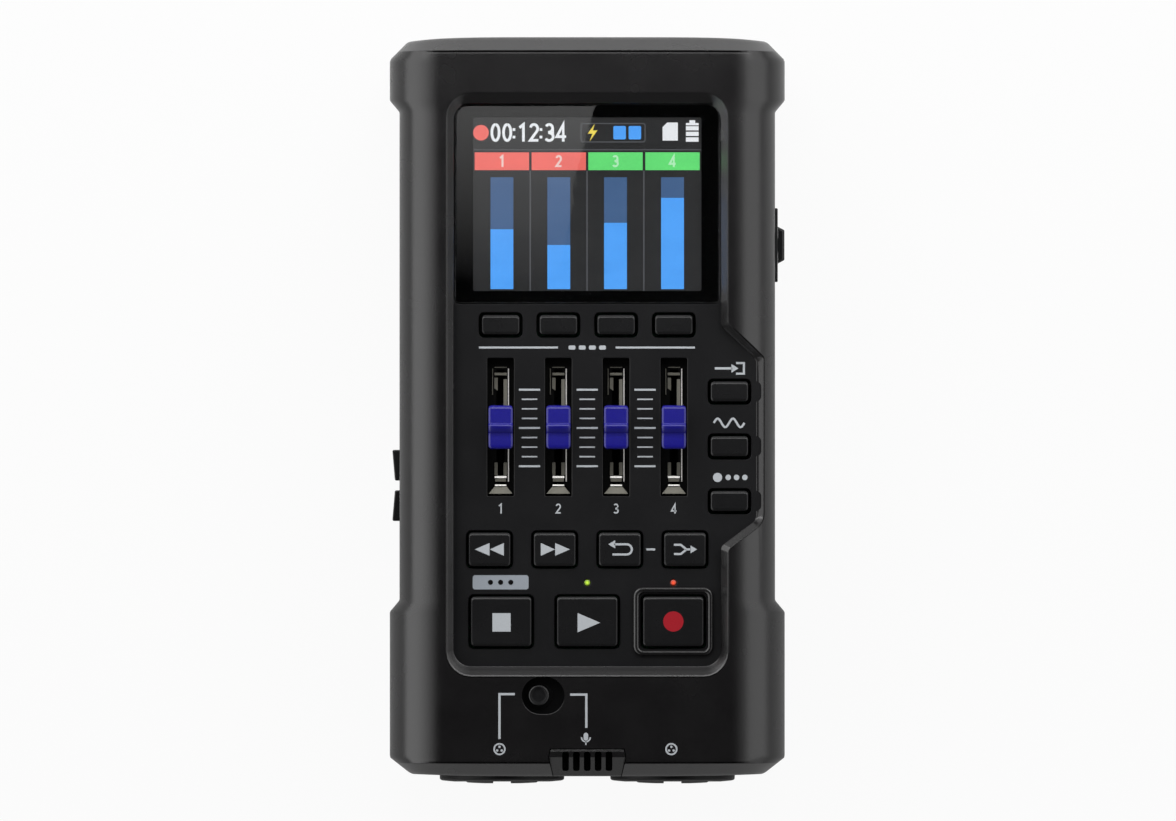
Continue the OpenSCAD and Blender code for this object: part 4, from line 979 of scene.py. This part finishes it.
def bar(place, z, x0, x1, y0, y1, height, lean_x, lean_y):
    """Small metal strip with softened edges, whose top may lean."""
    x0 += place.x
    x1 += place.x
    y0 += place.y
    y1 += place.y
    x = (x0 + x1) / 2
    y = (y0 + y1) / 2
    r = 0.3 * min(x1 - x0, y1 - y0, 0.33)
    rings = [placed(rounded_rect(x1 - x0, y1 - y0, r, (x, y), 3), z)]
    for inset, top in ((0.0, z + height - BAR_SOFT), (BAR_SOFT / 2, z + height)):
        outline = rounded_rect(x1 - x0 - 2 * inset, y1 - y0 - 2 * inset, r, (x, y), 3)
        rings.append([(u, v, top + lean_x * (u - x) + lean_y * (v - y)) for u, v in outline])
    return loft("bar", rings)


def make_slide_metal(i):
    """Bent strips, rail and end tabs that show in a fader's slot."""
    place = FADERS[i]
    z = box(f"fader_housing_{i}")[1].z
    slanted = [(place.x + x, place.y + y) for x, y in SLANTED]
    tab = [(place.x + x, place.y + y) for x, y in TAB]
    strips = [bar(place, z, *row) for row in STRIPS]
    strips.append(prism("strip", slanted, z, z + 0.35))
    ramp = [(u, v, z + 0.1 + 0.24 * (place.y + TAB_Y - v)) for u, v in tab]
    strips.append(loft("tab", [placed(tab, z), ramp]))
    dress(joined(f"slide_strips_{i}", strips), SLIDE)
    dress(joined(f"slide_rails_{i}", [bar(place, z, *row) for row in RAILS]), BRIGHT)


def make_lever(i):
    """Slider in the housing with a pin up into the cap."""
    node = f"fader_lever_{i}"
    low, high = box(node)
    w = high.x - low.x
    l = high.y - low.y
    top = box(f"fader_housing_{i}")[1].z - 1.4
    levels = ((w - 0.4, l - 0.4, low.z), (w, l, low.z + 0.2), (w, l, top - 0.2), (w - 0.4, l - 0.4, top),
              (0.9, 0.9, top + 0.02), (0.9, 0.9, high.z))
    lever = stack(f"slider_lever_{i}", [(rounded_rect(a, b, 0.2, middle(node)[:2]), z) for a, b, z in levels])
    dress(lever, SWITCH, f"fader_{i}", node)


for i in FADERS:
    make_cap(i)
    make_lever(i)
    make_slide_metal(i)


# Lamps
def make_lamp(node, material):
    low, high = box(node)
    r = 0.65
    flange = (1.4, low.z + 2.4)
    profile = [(1.4, low.z), flange, (r, flange[1]), (r, high.z - 0.25), (r * 0.92, high.z - 0.12),
               (r * 0.7, high.z - 0.04), (r * 0.3, high.z)]
    lamp = lathe(f"{node}_lens", profile, middle(node)[:2], count=32)
    dress(lamp, material, node=node)


make_lamp("play_lamp", GREEN_LAMP)
make_lamp("record_lamp", RED_LAMP)


# Selector knob: radius, and height under its top or over the well
KNOB_EDGE = ((2.2, 0.3), (2.13, 0.1), (1.95, 0.0), (1.72, 0.03), (1.6, 0.16), (1.5, 0.36), (1.2, 0.4),
             (0.5, 0.34))
KNOB_R = KNOB_EDGE[0][0]
SKIRT = ((3.05, 0.08), (3.05, 0.16), (2.98, 0.2), (1.6, 0.2), (1.6, 0.08))


def make_knob():
    low, high = box("selector_knob")
    centre = (low.x + KNOB_R, (low.y + high.y) / 2)
    foot = WELL_Z + 0.3
    stem = prism("selector_top", rounded_rect(1.6, 1.6, 0.1, centre), low.z, foot + 0.5)
    profile = [(2.05, foot), (KNOB_R, foot + 0.15)] + [(r, high.z - drop) for r, drop in KNOB_EDGE]
    shaped(stem, lathe("knob", profile, centre), "UNION")
    dress(stem, KEYS, "selector", "selector_knob")
    # Painted shade: the knob's skirt is made black to stand for the shade deep in the selector's well
    skirt = lathe("selector_skirt", [(r, WELL_Z + rise) for r, rise in SKIRT], centre, tube=True)
    dress(skirt, BLACK_INK_AND_SHADE, "selector")
    # Painted shade: a thin black plate on the well's floor stands for the shade in the deep well
    plate = prism("selector_well_shade_plate", well_outline(0), WELL_Z - 0.02, WELL_Z + 0.04)
    cut(plate, STEM_SLOT, WELL_Z - 1, WELL_Z + 1)
    dress(plate, BLACK_INK_AND_SHADE)


make_knob()

# Side controls: inset of their outline at heights from their middle
POWER_EDGE = ((0.5, -2.1), (0.4, -2.06), (0.08, -1.72), (0.0, -1.5), (0.0, 1.5), (0.08, 1.72), (0.4, 2.06),
              (0.5, 2.1))
VOLUME_EDGE = ((0.35, -2.3), (0.1, -2.2), (0.0, -1.95), (0.0, 1.95), (0.1, 2.2), (0.35, 2.3))
POWER_BASE = 4.0
POWER_TIP = 3.25
VOLUME_HALF = 3.325
VOLUME_OUTER = WAIST + 1.56
VOLUME_INNER = WAIST + 1.0


def make_power():
    low, high = box("power_plate")
    centre = middle("power_plate")[1:]
    edge = ((0.0, low.x), (0.0, high.x - 0.2), (0.08, high.x - 0.06), (0.25, high.x))
    levels = [(rounded_rect(16 - 2 * g, 5.6 - 2 * g, 0.8, centre), x) for g, x in edge]
    plate = stack("slider_plate", levels, "x")
    cut(plate, rounded_rect(*POWER_SLOT, centre), low.x - 1, high.x + 1, "x")
    dress(plate, PANEL, node="power_plate")
    foot = high.x + 0.02
    low, high = box("power_knob")
    y = middle("power_knob").y
    levels = []
    for inset, z in POWER_EDGE:
        base = POWER_BASE - inset
        tip = POWER_TIP - 0.6 * inset
        corners = [(foot, y - base, 0.04), (high.x - inset, y - tip, 0.4), (high.x - inset, y + tip, 0.4),
                   (foot, y + base, 0.04)]
        levels.append((round_corners(corners, 4), SIDE_Z + z))
    knob = stack("slider_knob", levels)
    stem = prism("stem", rounded_rect(3.0, 2.2, 0.1, (y, SIDE_Z)), low.x, foot + 0.3, "x")
    shaped(knob, stem, "UNION")
    dress(knob, KEYS, "power_slider", "power_knob")


def make_volume(node, low_x, high_x):
    """Wedge key of the left side, with softened edges; its face leans from one x to another."""
    back = box(node)[1].x
    y = middle(node).y
    levels = []
    for inset, z in VOLUME_EDGE:
        half = VOLUME_HALF - inset
        corners = [(-low_x + inset, y - half, 0.35), (back, y - half, 0.1), (back, y + half, 0.1),
                   (-high_x + inset, y + half, 0.35)]
        levels.append((round_corners(corners, 4), SIDE_Z + z))
    dress(stack(f"{node}_wedge", levels), KEYS, node, node)


make_power()
make_volume("volume_up_key", VOLUME_INNER, VOLUME_OUTER)
make_volume("volume_down_key", VOLUME_OUTER, VOLUME_INNER)


# Jack collars and inserts
MOUTH_R = 9.7
BODY_R = 11.8
LINER_R = 7.85
CORE_R = 7.8
PIN_R = 1.2
PIN_RING = 5.5
SLEEVE = ((1.18, 1.0), (0.85, 1.2), (0.85, 10), (1.18, 10))
BORE = ((3.6, -1), (3.6, 0), (PLUG_R, 0.4), (PLUG_R, 21))
LATCH = ((0.25, 1.2), (0.0, 1.45), (0.0, 9))


def dome_y(r):
    return CROWN_Y + DOME_R - math.sqrt(DOME_R ** 2 - r ** 2)


def turned(name, profile, centre, count=64, tube=False):
    """Form turned about a line into a jack; its levels count from the top of the jack's dome."""
    return lathe(name, [(r, CROWN_Y + depth) for r, depth in profile], centre, "y", tube, count)


def make_jack(letter, x):
    centre = (x, JACK_Z)
    end = box(f"combo_jack_{letter}")[1].y
    inside = CROWN_Y + 14
    profile = [(MOUTH_R, inside), (MOUTH_R, dome_y(MOUTH_R) + 0.5), (9.78, dome_y(MOUTH_R) + 0.2),
               (10.0, dome_y(10.0) + 0.04)]
    profile += [(10.3 + 0.7 * k, dome_y(10.3 + 0.7 * k)) for k in range(4)]
    profile += [(12.85, dome_y(12.85)), (13.25, dome_y(13.25) + 0.1), (13.45, dome_y(13.4) + 0.3),
                (COLLAR_R, SEAT_Y), (BODY_R, SEAT_Y), (BODY_R, end), (LINER_R, end), (LINER_R, inside)]
    collar = lathe(f"jack_collar_{letter}", profile, centre, "y", tube=True, count=96)
    dress(collar, JACK, node=f"combo_jack_{letter}")
    end = box(f"jack_insert_{letter}")[1].y
    core = [(CORE_R, end), (CORE_R, dome_y(CORE_R) + 0.4), (7.68, dome_y(CORE_R) + 0.12)]
    core += [(r, dome_y(r)) for r in (7.4, 6.0, 4.6, 3.2, 1.6, 0.4)]
    insert = lathe(f"jack_core_{letter}", core, centre, "y", count=96)
    shaped(insert, turned("bore", BORE, centre))
    sleeves = []
    for turn in (90, 210, 330):
        a = math.radians(turn)
        pin = (x + PIN_RING * math.cos(a), JACK_Z + PIN_RING * math.sin(a))
        cut(insert, circle(PIN_R, pin, 32), CROWN_Y - 1, CROWN_Y + 11, "y")
        sleeves.append(turned("sleeve", SLEEVE, pin, 32, True))
    cut(insert, rounded_rect(3.8, 20, 0.2, centre), CROWN_Y - 1, CROWN_Y + 0.5, "y")
    dress(insert, JACK, node=f"jack_insert_{letter}")
    dress(joined(f"pin_sleeves_{letter}", sleeves), CONTACT)
    place = (x, JACK_Z + 8.75)
    latch = [(rounded_rect(5.0 - 2 * g, 1.3 - g, 0.3, place), CROWN_Y + depth) for g, depth in LATCH]
    dress(stack(f"jack_latch_{letter}", latch, "y"), STEEL)


for letter, x in JACKS.items():
    make_jack(letter, x)

# Display: window, its black border, and the lit picture
VIEW_X = 24.7
VIEW_Y1 = 63.4
VIEW_Y0 = 25.85
LCD_Z = box("lcd_module")[1].z
MASK_Z = window_low.z + 0.1


def make_window():
    top = window_high.z
    edge = ((0.15, MASK_Z), (0.15, top - 0.25), (0.21, top - 0.08), (0.4, top))
    pane = stack("window_lens", [(window_outline(-g), z) for g, z in edge])
    dress(pane, WINDOW, node="display_window")
    mask = prism("window_mask", window_outline(-0.17), window_low.z, MASK_Z - 0.01)
    hole = rounded_rect(2 * VIEW_X, VIEW_Y1 - VIEW_Y0, 0.4, (0, (VIEW_Y1 + VIEW_Y0) / 2))
    cut(mask, hole, window_low.z - 1, MASK_Z + 1)
    dress(mask, BLACK_INK_AND_SHADE)


make_window()


def flat_shapes(name, outlines, low, material, body="casing", thick=INK):
    """Thin printed or lit shapes, joined in one piece."""
    shapes = [prism(name, outline, low, low + thick) for outline in outlines]
    return dress(joined(name, shapes), material, body)


def rect(x0, x1, y0, y1):
    return [(x0, y0), (x1, y0), (x1, y1), (x0, y1)]


def stroke(points, width):
    """Outline of a bent line of even width."""
    left = []
    right = []
    for k, p in enumerate(points):
        here = Vector(p)
        before = (here - Vector(points[k - 1])).normalized() if k else None
        after = (Vector(points[k + 1]) - here).normalized() if k + 1 < len(points) else None
        way = ((before or after) + (after or before)).normalized()
        reach = width / 2 / max(way.dot(after or before), 0.3)
        left.append((here.x - way.y * reach, here.y + way.x * reach))
        right.append((here.x + way.y * reach, here.y - way.x * reach))
    return right + left[::-1]


def arc(x, y, rx, ry, start, stop, steps=12):
    turns = [math.radians(start + (stop - start) * k / steps) for k in range(steps + 1)]
    return [(x + rx * math.cos(a), y + ry * math.sin(a)) for a in turns]


# Plain digits as bent lines in a box one unit high and 0.54 wide
DIGIT_WIDTH = 0.54
DIGITS = {
    "0": [arc(0.27, 0.5, 0.2, 0.44, 90, 449, 28)],
    "1": [[(0.1, 0.76), (0.32, 0.94), (0.32, 0.0)]],
    "2": [arc(0.26, 0.71, 0.2, 0.23, 165, -35, 12) + [(0.06, 0.07), (0.5, 0.07)]],
    "3": [arc(0.25, 0.73, 0.19, 0.21, 150, -85, 12) + arc(0.25, 0.27, 0.22, 0.21, 85, -150, 12)],
    "4": [[(0.38, 0.0), (0.38, 0.94), (0.03, 0.27), (0.54, 0.27)]],
}


def number_shapes(text, height, centre, weight=0.13, advance=0.66):
    """Outlines of a number; a colon is two squares."""
    steps = [0.2 if sign == ":" else advance for sign in text]
    x = centre[0] - height * (sum(steps) - (advance - DIGIT_WIDTH)) / 2
    y = centre[1] - height / 2
    width = weight * height
    outlines = []
    for sign, step in zip(text, steps):
        if sign == ":":
            for level in (0.25, 0.66):
                outlines.append(rounded_rect(width, width, 0.05, (x, y + level * height), 2))
        else:
            for line in DIGITS[sign]:
                outlines.append(stroke([(x + u * height, y + v * height) for u, v in line], width))
        x += step * height
    return outlines


# Lit picture
METER_X = (-18.47, -6.16, 6.11, 18.45)
METER_LEVEL = (39.2, 35.8, 40.6, 46.0)
METER_LOW = 26.25
METER_HIGH = 50.45
METER_HALF = 2.47
HEAD_HALF = 5.88
GROUND = 0.02
GROUND_OUT = 0.6
STATUS_Y = 60.1


def lit_shapes(name, outlines, material, low=LCD_Z + GROUND, thick=INK):
    """Shapes of the lit picture, too dim to show on what lies round the window."""
    piece = flat_shapes(f"screen_{name}", outlines, low, material, thick=thick)
    piece.visible_diffuse = False
    piece.visible_glossy = False


def make_screen():
    over = LCD_Z + GROUND + INK
    side = VIEW_X + GROUND_OUT
    ground = rect(-side, side, VIEW_Y0 - GROUND_OUT, VIEW_Y1 + GROUND_OUT)
    lit_shapes("ground", [ground], SCREEN, LCD_Z, GROUND)
    heads = [rect(x - HEAD_HALF, x + HEAD_HALF, 52.0, 55.85) for x in METER_X]
    lit_shapes("heads_red", heads[:2], SCREEN_RED)
    lit_shapes("heads_green", heads[2:], SCREEN_GREEN)
    numbers = [number_shapes(str(i), 2.5, (x, 53.95), 0.17) for i, x in enumerate(METER_X, 1)]
    lit_shapes("numbers_red", numbers[0] + numbers[1], SCREEN_PINK, over)
    lit_shapes("numbers_green", numbers[2] + numbers[3], SCREEN_MINT, over)
    dividers = [rect(x - 0.13, x + 0.13, VIEW_Y0, 51.9) for x in (-12.35, -0.05, 12.25)]
    lit_shapes("dividers", dividers + [rect(-VIEW_X, VIEW_X, 56.3, 56.5)], SCREEN_LINE)
    meters = [(x - METER_HALF, x + METER_HALF, level) for x, level in zip(METER_X, METER_LEVEL)]
    lit_shapes("meters_dim", [rect(x0, x1, level, METER_HIGH) for x0, x1, level in meters], SCREEN_DIM)
    lit_shapes("meters_lit", [rect(x0, x1, METER_LOW, level) for x0, x1, level in meters], SCREEN_BLUE)
    lit_shapes("record_dot", [circle(1.69, (-23.0, STATUS_Y))], SCREEN_RED)
    lit_shapes("time", number_shapes("00:12:34", 3.95, (-12.75, 60.15), 0.15, 0.64), SCREEN_WHITE)
    bolt = [(1.6, 62.0), (0.1, 59.9), (1.1, 59.9), (0.5, 58.2), (2.2, 60.6), (1.2, 60.6)]
    lit_shapes("bolt", [bolt], SCREEN_YELLOW)
    card = [(16.3, 58.4), (19.6, 58.4), (19.6, 62.3), (17.3, 62.3), (16.3, 61.3)]
    bars = [rect(21.35, 24.1, y0, y1) for y0, y1 in ((58.15, 59.1), (59.4, 60.3), (60.6, 61.5), (61.7, 62.2))]
    lit_shapes("icons", [card] + bars + [rect(22.1, 23.35, 62.2, 62.8)], SCREEN_WHITE)
    border = rounded_rect(13.85, 4.0, 0.5, (5.58, STATUS_Y), 4)
    lit_shapes("box", [stroke(border + border[:1], 0.2)], SCREEN_LINE)
    lit_shapes("inputs", [rounded_rect(2.7, 2.9, 0.3, (x, STATUS_Y)) for x in (7.0, 10.3)], SCREEN_BLUE)


make_screen()


# Printed signs on the panel, the keys and the casing
LINE = 0.45
MARK_TOP = 4.48
MARK_PITCH = 2.07
PLATE = (-18.75, -37.2)
RING_Y = -73.3
MIC_X = -0.3


def make_panel_prints():
    shapes = [rect(x0, x1, 13.4, 13.82) for x0, x1 in ((-23.45, -6.35), (6.15, 23.3))]
    shapes += [rounded_rect(1.5, 0.9, 0.3, (x, 13.6)) for x in (-3.3, -1.1, 1.1, 3.3)]
    for x in (-12.5, 0.0, 12.5):
        for k in range(9):
            half, thick = (2.3, 0.21) if k % 4 == 0 else (1.68, 0.155)
            y = MARK_TOP - MARK_PITCH * k
            shapes.append(rect(x - half, x + half, y - thick, y + thick))
    y = 9.1
    shapes += [stroke([(27.6, y), (31.4, y)], 0.5), [(31.2, y + 0.95), (31.2, y - 0.95), (32.7, y)],
               stroke([(32.2, y + 1.15), (33.9, y + 1.15), (33.9, y - 1.15), (32.2, y - 1.15)], LINE)]
    y = -2.7
    shapes.append(stroke([(27.4 + 0.3 * k, y + 0.95 * math.sin(k * math.pi / 5.5)) for k in range(23)], LINE))
    y = -14.5
    shapes += [circle(1.0, (28.2, y), 24)] + [circle(0.6, (x, y), 20) for x in (30.5, 32.3, 34.1)]
    for i, place in FADERS.items():
        shapes += number_shapes(str(i), 2.15, (place.x, -21.25), 0.14)
    y = middle("undo_key").y
    shapes.append(rect(12.75, 14.7, y - 0.22, y + 0.22))
    flat_shapes("panel_prints", shapes, FLOOR_Z, INK_PALE)
    flat_shapes("option_plate", [rounded_rect(12.1, 3.1, 0.55, PLATE)], FLOOR_Z, INK_PLATE)
    dots = [circle(0.55, (PLATE[0] + d, PLATE[1]), 20) for d in (-2.2, 0.0, 2.2)]
    flat_shapes("option_dots", dots, FLOOR_Z + INK, BLACK_INK_AND_SHADE)


def key_sign(node, outlines, material=INK_PALE):
    """Sign on a key, drawn from the key's middle."""
    place = middle(node)
    moved = [[(place.x + x, place.y + y) for x, y in outline] for outline in outlines]
    flat_shapes(f"{node}_sign", moved, box(node)[1].z, material, node)


def make_key_prints():
    key_sign("rewind_key", [[(0.05, 0), (3.1, 1.38), (3.1, -1.38)], [(-3.2, 0), (0.0, 1.38), (0.0, -1.38)]])
    key_sign("forward_key", [[(-3.0, 1.38), (-3.0, -1.38), (0.05, 0)], [(0.1, 1.38), (0.1, -1.38), (3.3, 0)]])
    turn = [math.pi / 2 - math.pi * k / 10 for k in range(11)]
    bend = [(1.5 + 1.1 * math.cos(a), 1.1 * math.sin(a)) for a in turn]
    key_sign("undo_key", [stroke([(-1.2, 1.1)] + bend + [(-1.6, -1.1)], LINE),
                          [(-1.0, 2.0), (-2.5, 1.1), (-1.0, 0.2)]])
    key_sign("bounce_key", [stroke([(-2.4, 1.0), (-0.9, 1.0), (0.3, 0.0), (1.3, 0.0)], LINE),
                            stroke([(-2.4, -1.0), (-0.9, -1.0), (0.2, -0.1)], LINE),
                            [(1.2, 0.85), (1.2, -0.85), (2.6, 0.0)]])
    key_sign("stop_key", [rect(-1.9, 2.05, -2.2, 1.8)])
    key_sign("play_key", [[(-2.1, 1.83), (-2.1, -2.35), (2.8, -0.26)]])
    key_sign("record_key", [circle(2.2)], INK_RED)


def make_casing_prints():
    shapes = [stroke([(-15.7, -61.4), (-19.0, -61.4), (-19.0, -71.1)], 0.5),
              stroke([(-3.7, -61.5), (-0.2, -61.5), (-0.2, -68.7)], 0.5)]
    for x in (-19.0, 18.2):
        shapes.append(stroke(arc(x, RING_Y, 1.15, 1.15, 90, 449, 28), 0.35))
        shapes += [circle(0.27, (x + d, RING_Y + e), 16) for d, e in ((-0.5, -0.3), (0.5, -0.3), (0.0, 0.5))]
    shapes += [rounded_rect(1.0, 1.7, 0.49, (MIC_X, -70.6)),
               stroke(arc(MIC_X, -70.75, 0.95, 0.95, 180, 360, 14), 0.3),
               stroke([(MIC_X, -71.6), (MIC_X, -72.4)], 0.3)]
    flat_shapes("casing_prints", shapes, FRONT_Z, INK_PALE)


make_panel_prints()
make_key_prints()
make_casing_prints()

# Solids of the frame that show as they are
KEPT = {
    "lcd_module": BLACK_INK_AND_SHADE, "lcd_holder": HOLDER, "main_board": BOARD, "jack_board": BOARD,
    "key_switches": SWITCH, "selector_switch": SWITCH, "power_switch": SWITCH, "mic_capsule": DARK_STEEL_AND_SHADE,
    "phones_jack": JACK, "usb_socket": STEEL, "card_socket": STEEL, "speaker": SPEAKER,
    "battery_cells": CELLS, "battery_contacts": CONTACT, "casing_screws": BLACK_STEEL, "board_screws": STEEL}
# Painted shade: the fader housings get the dark steel to stand for the shade deep in their slots
for i in FADERS:
    KEPT[f"fader_housing_{i}"] = DARK_STEEL_AND_SHADE
for node, material in KEPT.items():
    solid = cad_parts[node]
    solid.data.materials.clear()
    solid.data.materials.append(material)

# Camera, light and floor
VIEW_WIDTH = 254.5
VIEW_MIDDLE = (0.16, -0.02)
CAMERA_HEIGHT = 1000.0
WHITE = (1, 1, 1, 1)


def make_camera():
    camera = bpy.data.cameras.new("camera")
    camera.type = "ORTHO"
    camera.ortho_scale = VIEW_WIDTH * MM
    holder = linked("camera", camera)
    holder.location = [v * MM for v in (*VIEW_MIDDLE, CAMERA_HEIGHT)]
    bpy.context.scene.camera = holder


def make_light(name, place, aim, size, power, mirrored=True):
    """Lamp whose place, aim and size are in metres."""
    light = bpy.data.lights.new(name, "AREA")
    light.shape = "RECTANGLE"
    light.size, light.size_y = size
    light.energy = power
    holder = linked(name, light)
    holder.location = place
    holder.rotation_euler = (Vector(aim) - Vector(place)).to_track_quat("-Z", "Y").to_euler()
    holder.visible_camera = False
    holder.visible_glossy = mirrored
    holder.visible_transmission = False


# Pale sides of the room: axis, where a side starts and is full along it, and its level
ROOM_SIDES = (("X", -0.22, -0.85, 1.8), ("X", 0.15, 0.7, 0.7), ("Y", 0.4, 0.95, 0.55),
              ("Y", -0.4, -0.95, 0.1))


def make_world():
    """Soft room light: dark overhead, pale at the left, the right and the display end."""
    world = bpy.data.worlds.new("world")
    bpy.context.scene.world = world
    world.use_nodes = True
    tree = world.node_tree
    parts = add_node(tree, "ShaderNodeSeparateXYZ", Vector=place_on(tree, "Generated"))
    level = 0.0
    for axis, start, full, light in ROOM_SIDES:
        level = worked_out(tree, "ADD", spread(tree, parts.outputs[axis], 0.0, light, start, full), level)
    rays = add_node(tree, "ShaderNodeLightPath").outputs
    seen = worked_out(tree, "MAXIMUM", level, rays["Is Camera Ray"])
    fill(tree, tree.nodes["Background"], Strength=seen, Color=WHITE)


def new_surface(name):
    """Material without a shader, for one that is put together from others."""
    material, tree, shader = new_material(name)
    tree.nodes.remove(shader)
    return material, tree


# Floor: how white the camera sees it, and the share of that in reflections
FLOOR_HALF_WIDTH = 3000.0
FLOOR_GREY = (0.43, 0.43, 0.43, 1)
FLOOR_SEEN = 0.94
FLOOR_MIRRORED = 0.07


def make_floor():
    """Matt floor that the camera and clear pieces see as white, with the object's shadow on it."""
    r = FLOOR_HALF_WIDTH
    floor = new_piece("floor", [(-r, -r, 0), (r, -r, 0), (r, r, 0), (-r, r, 0)], [(0, 1, 2, 3)])
    material, tree = new_surface("pale_floor")
    rays = add_node(tree, "ShaderNodeLightPath").outputs
    seen = worked_out(tree, "MULTIPLY", rays["Is Glossy Ray"], FLOOR_MIRRORED)
    for ray in ("Is Camera Ray", "Is Transmission Ray"):
        seen = worked_out(tree, "MAXIMUM", seen, rays[ray])
    matt = add_node(tree, "ShaderNodeBsdfDiffuse", Color=FLOOR_GREY)
    white = add_node(tree, "ShaderNodeEmission", Color=WHITE, Strength=1.0)
    mixed = add_node(tree, "ShaderNodeMixShader", Fac=worked_out(tree, "MULTIPLY", seen, FLOOR_SEEN))
    feed(tree, mixed.inputs[1], matt.outputs["BSDF"])
    feed(tree, mixed.inputs[2], white.outputs["Emission"])
    fill(tree, tree.nodes["Material Output"], Surface=mixed.outputs["Shader"])
    floor.data.materials.append(material)


# Card over the display end: its plan, its height over the front, and where its light starts and is full
CARD_PLAN = [(-34, 28), (-6.2, 28), (-5.5, 34), (-2.6, 50), (1.7, 66.2), (3.0, 70), (-34, 70)]
CARD_RISE = 500.0
CARD_FADE = (28, 64)
GLARE = 1.5


def make_glare_card():
    """Pale card that only shows as a soft reflection in the window."""
    points = placed(CARD_PLAN, FRONT_Z + CARD_RISE)
    card = new_piece("glare_card", points, [tuple(range(len(points)))])
    material, tree = new_surface("pale_card")
    parts = add_node(tree, "ShaderNodeSeparateXYZ", Vector=place_on(tree))
    start, full = (y * MM for y in CARD_FADE)
    strength = spread(tree, parts.outputs["Y"], 0.0, GLARE, start, full)
    light = add_node(tree, "ShaderNodeEmission", Strength=strength)
    fill(tree, tree.nodes["Material Output"], Surface=light.outputs["Emission"])
    card.data.materials.append(material)
    card.visible_camera = False
    card.visible_diffuse = False
    card.visible_shadow = False
    card.visible_transmission = False


make_camera()
make_world()
make_floor()
make_glare_card()
make_light("top_light", (0.0, 0.23, 0.38), (0, 0.06, 0.04), (0.8, 0.12), 1.02)
make_light("end_light", (0.0, 0.32, 0.2), (0, 0.14, 0.0), (0.3, 0.1), 1.35, False)
make_light("right_light", (0.5, 0.1, 0.36), (0, 0.0, 0.04), (0.6, 0.5), 0.5)
bpy.context.scene.view_settings.view_transform = "Standard"
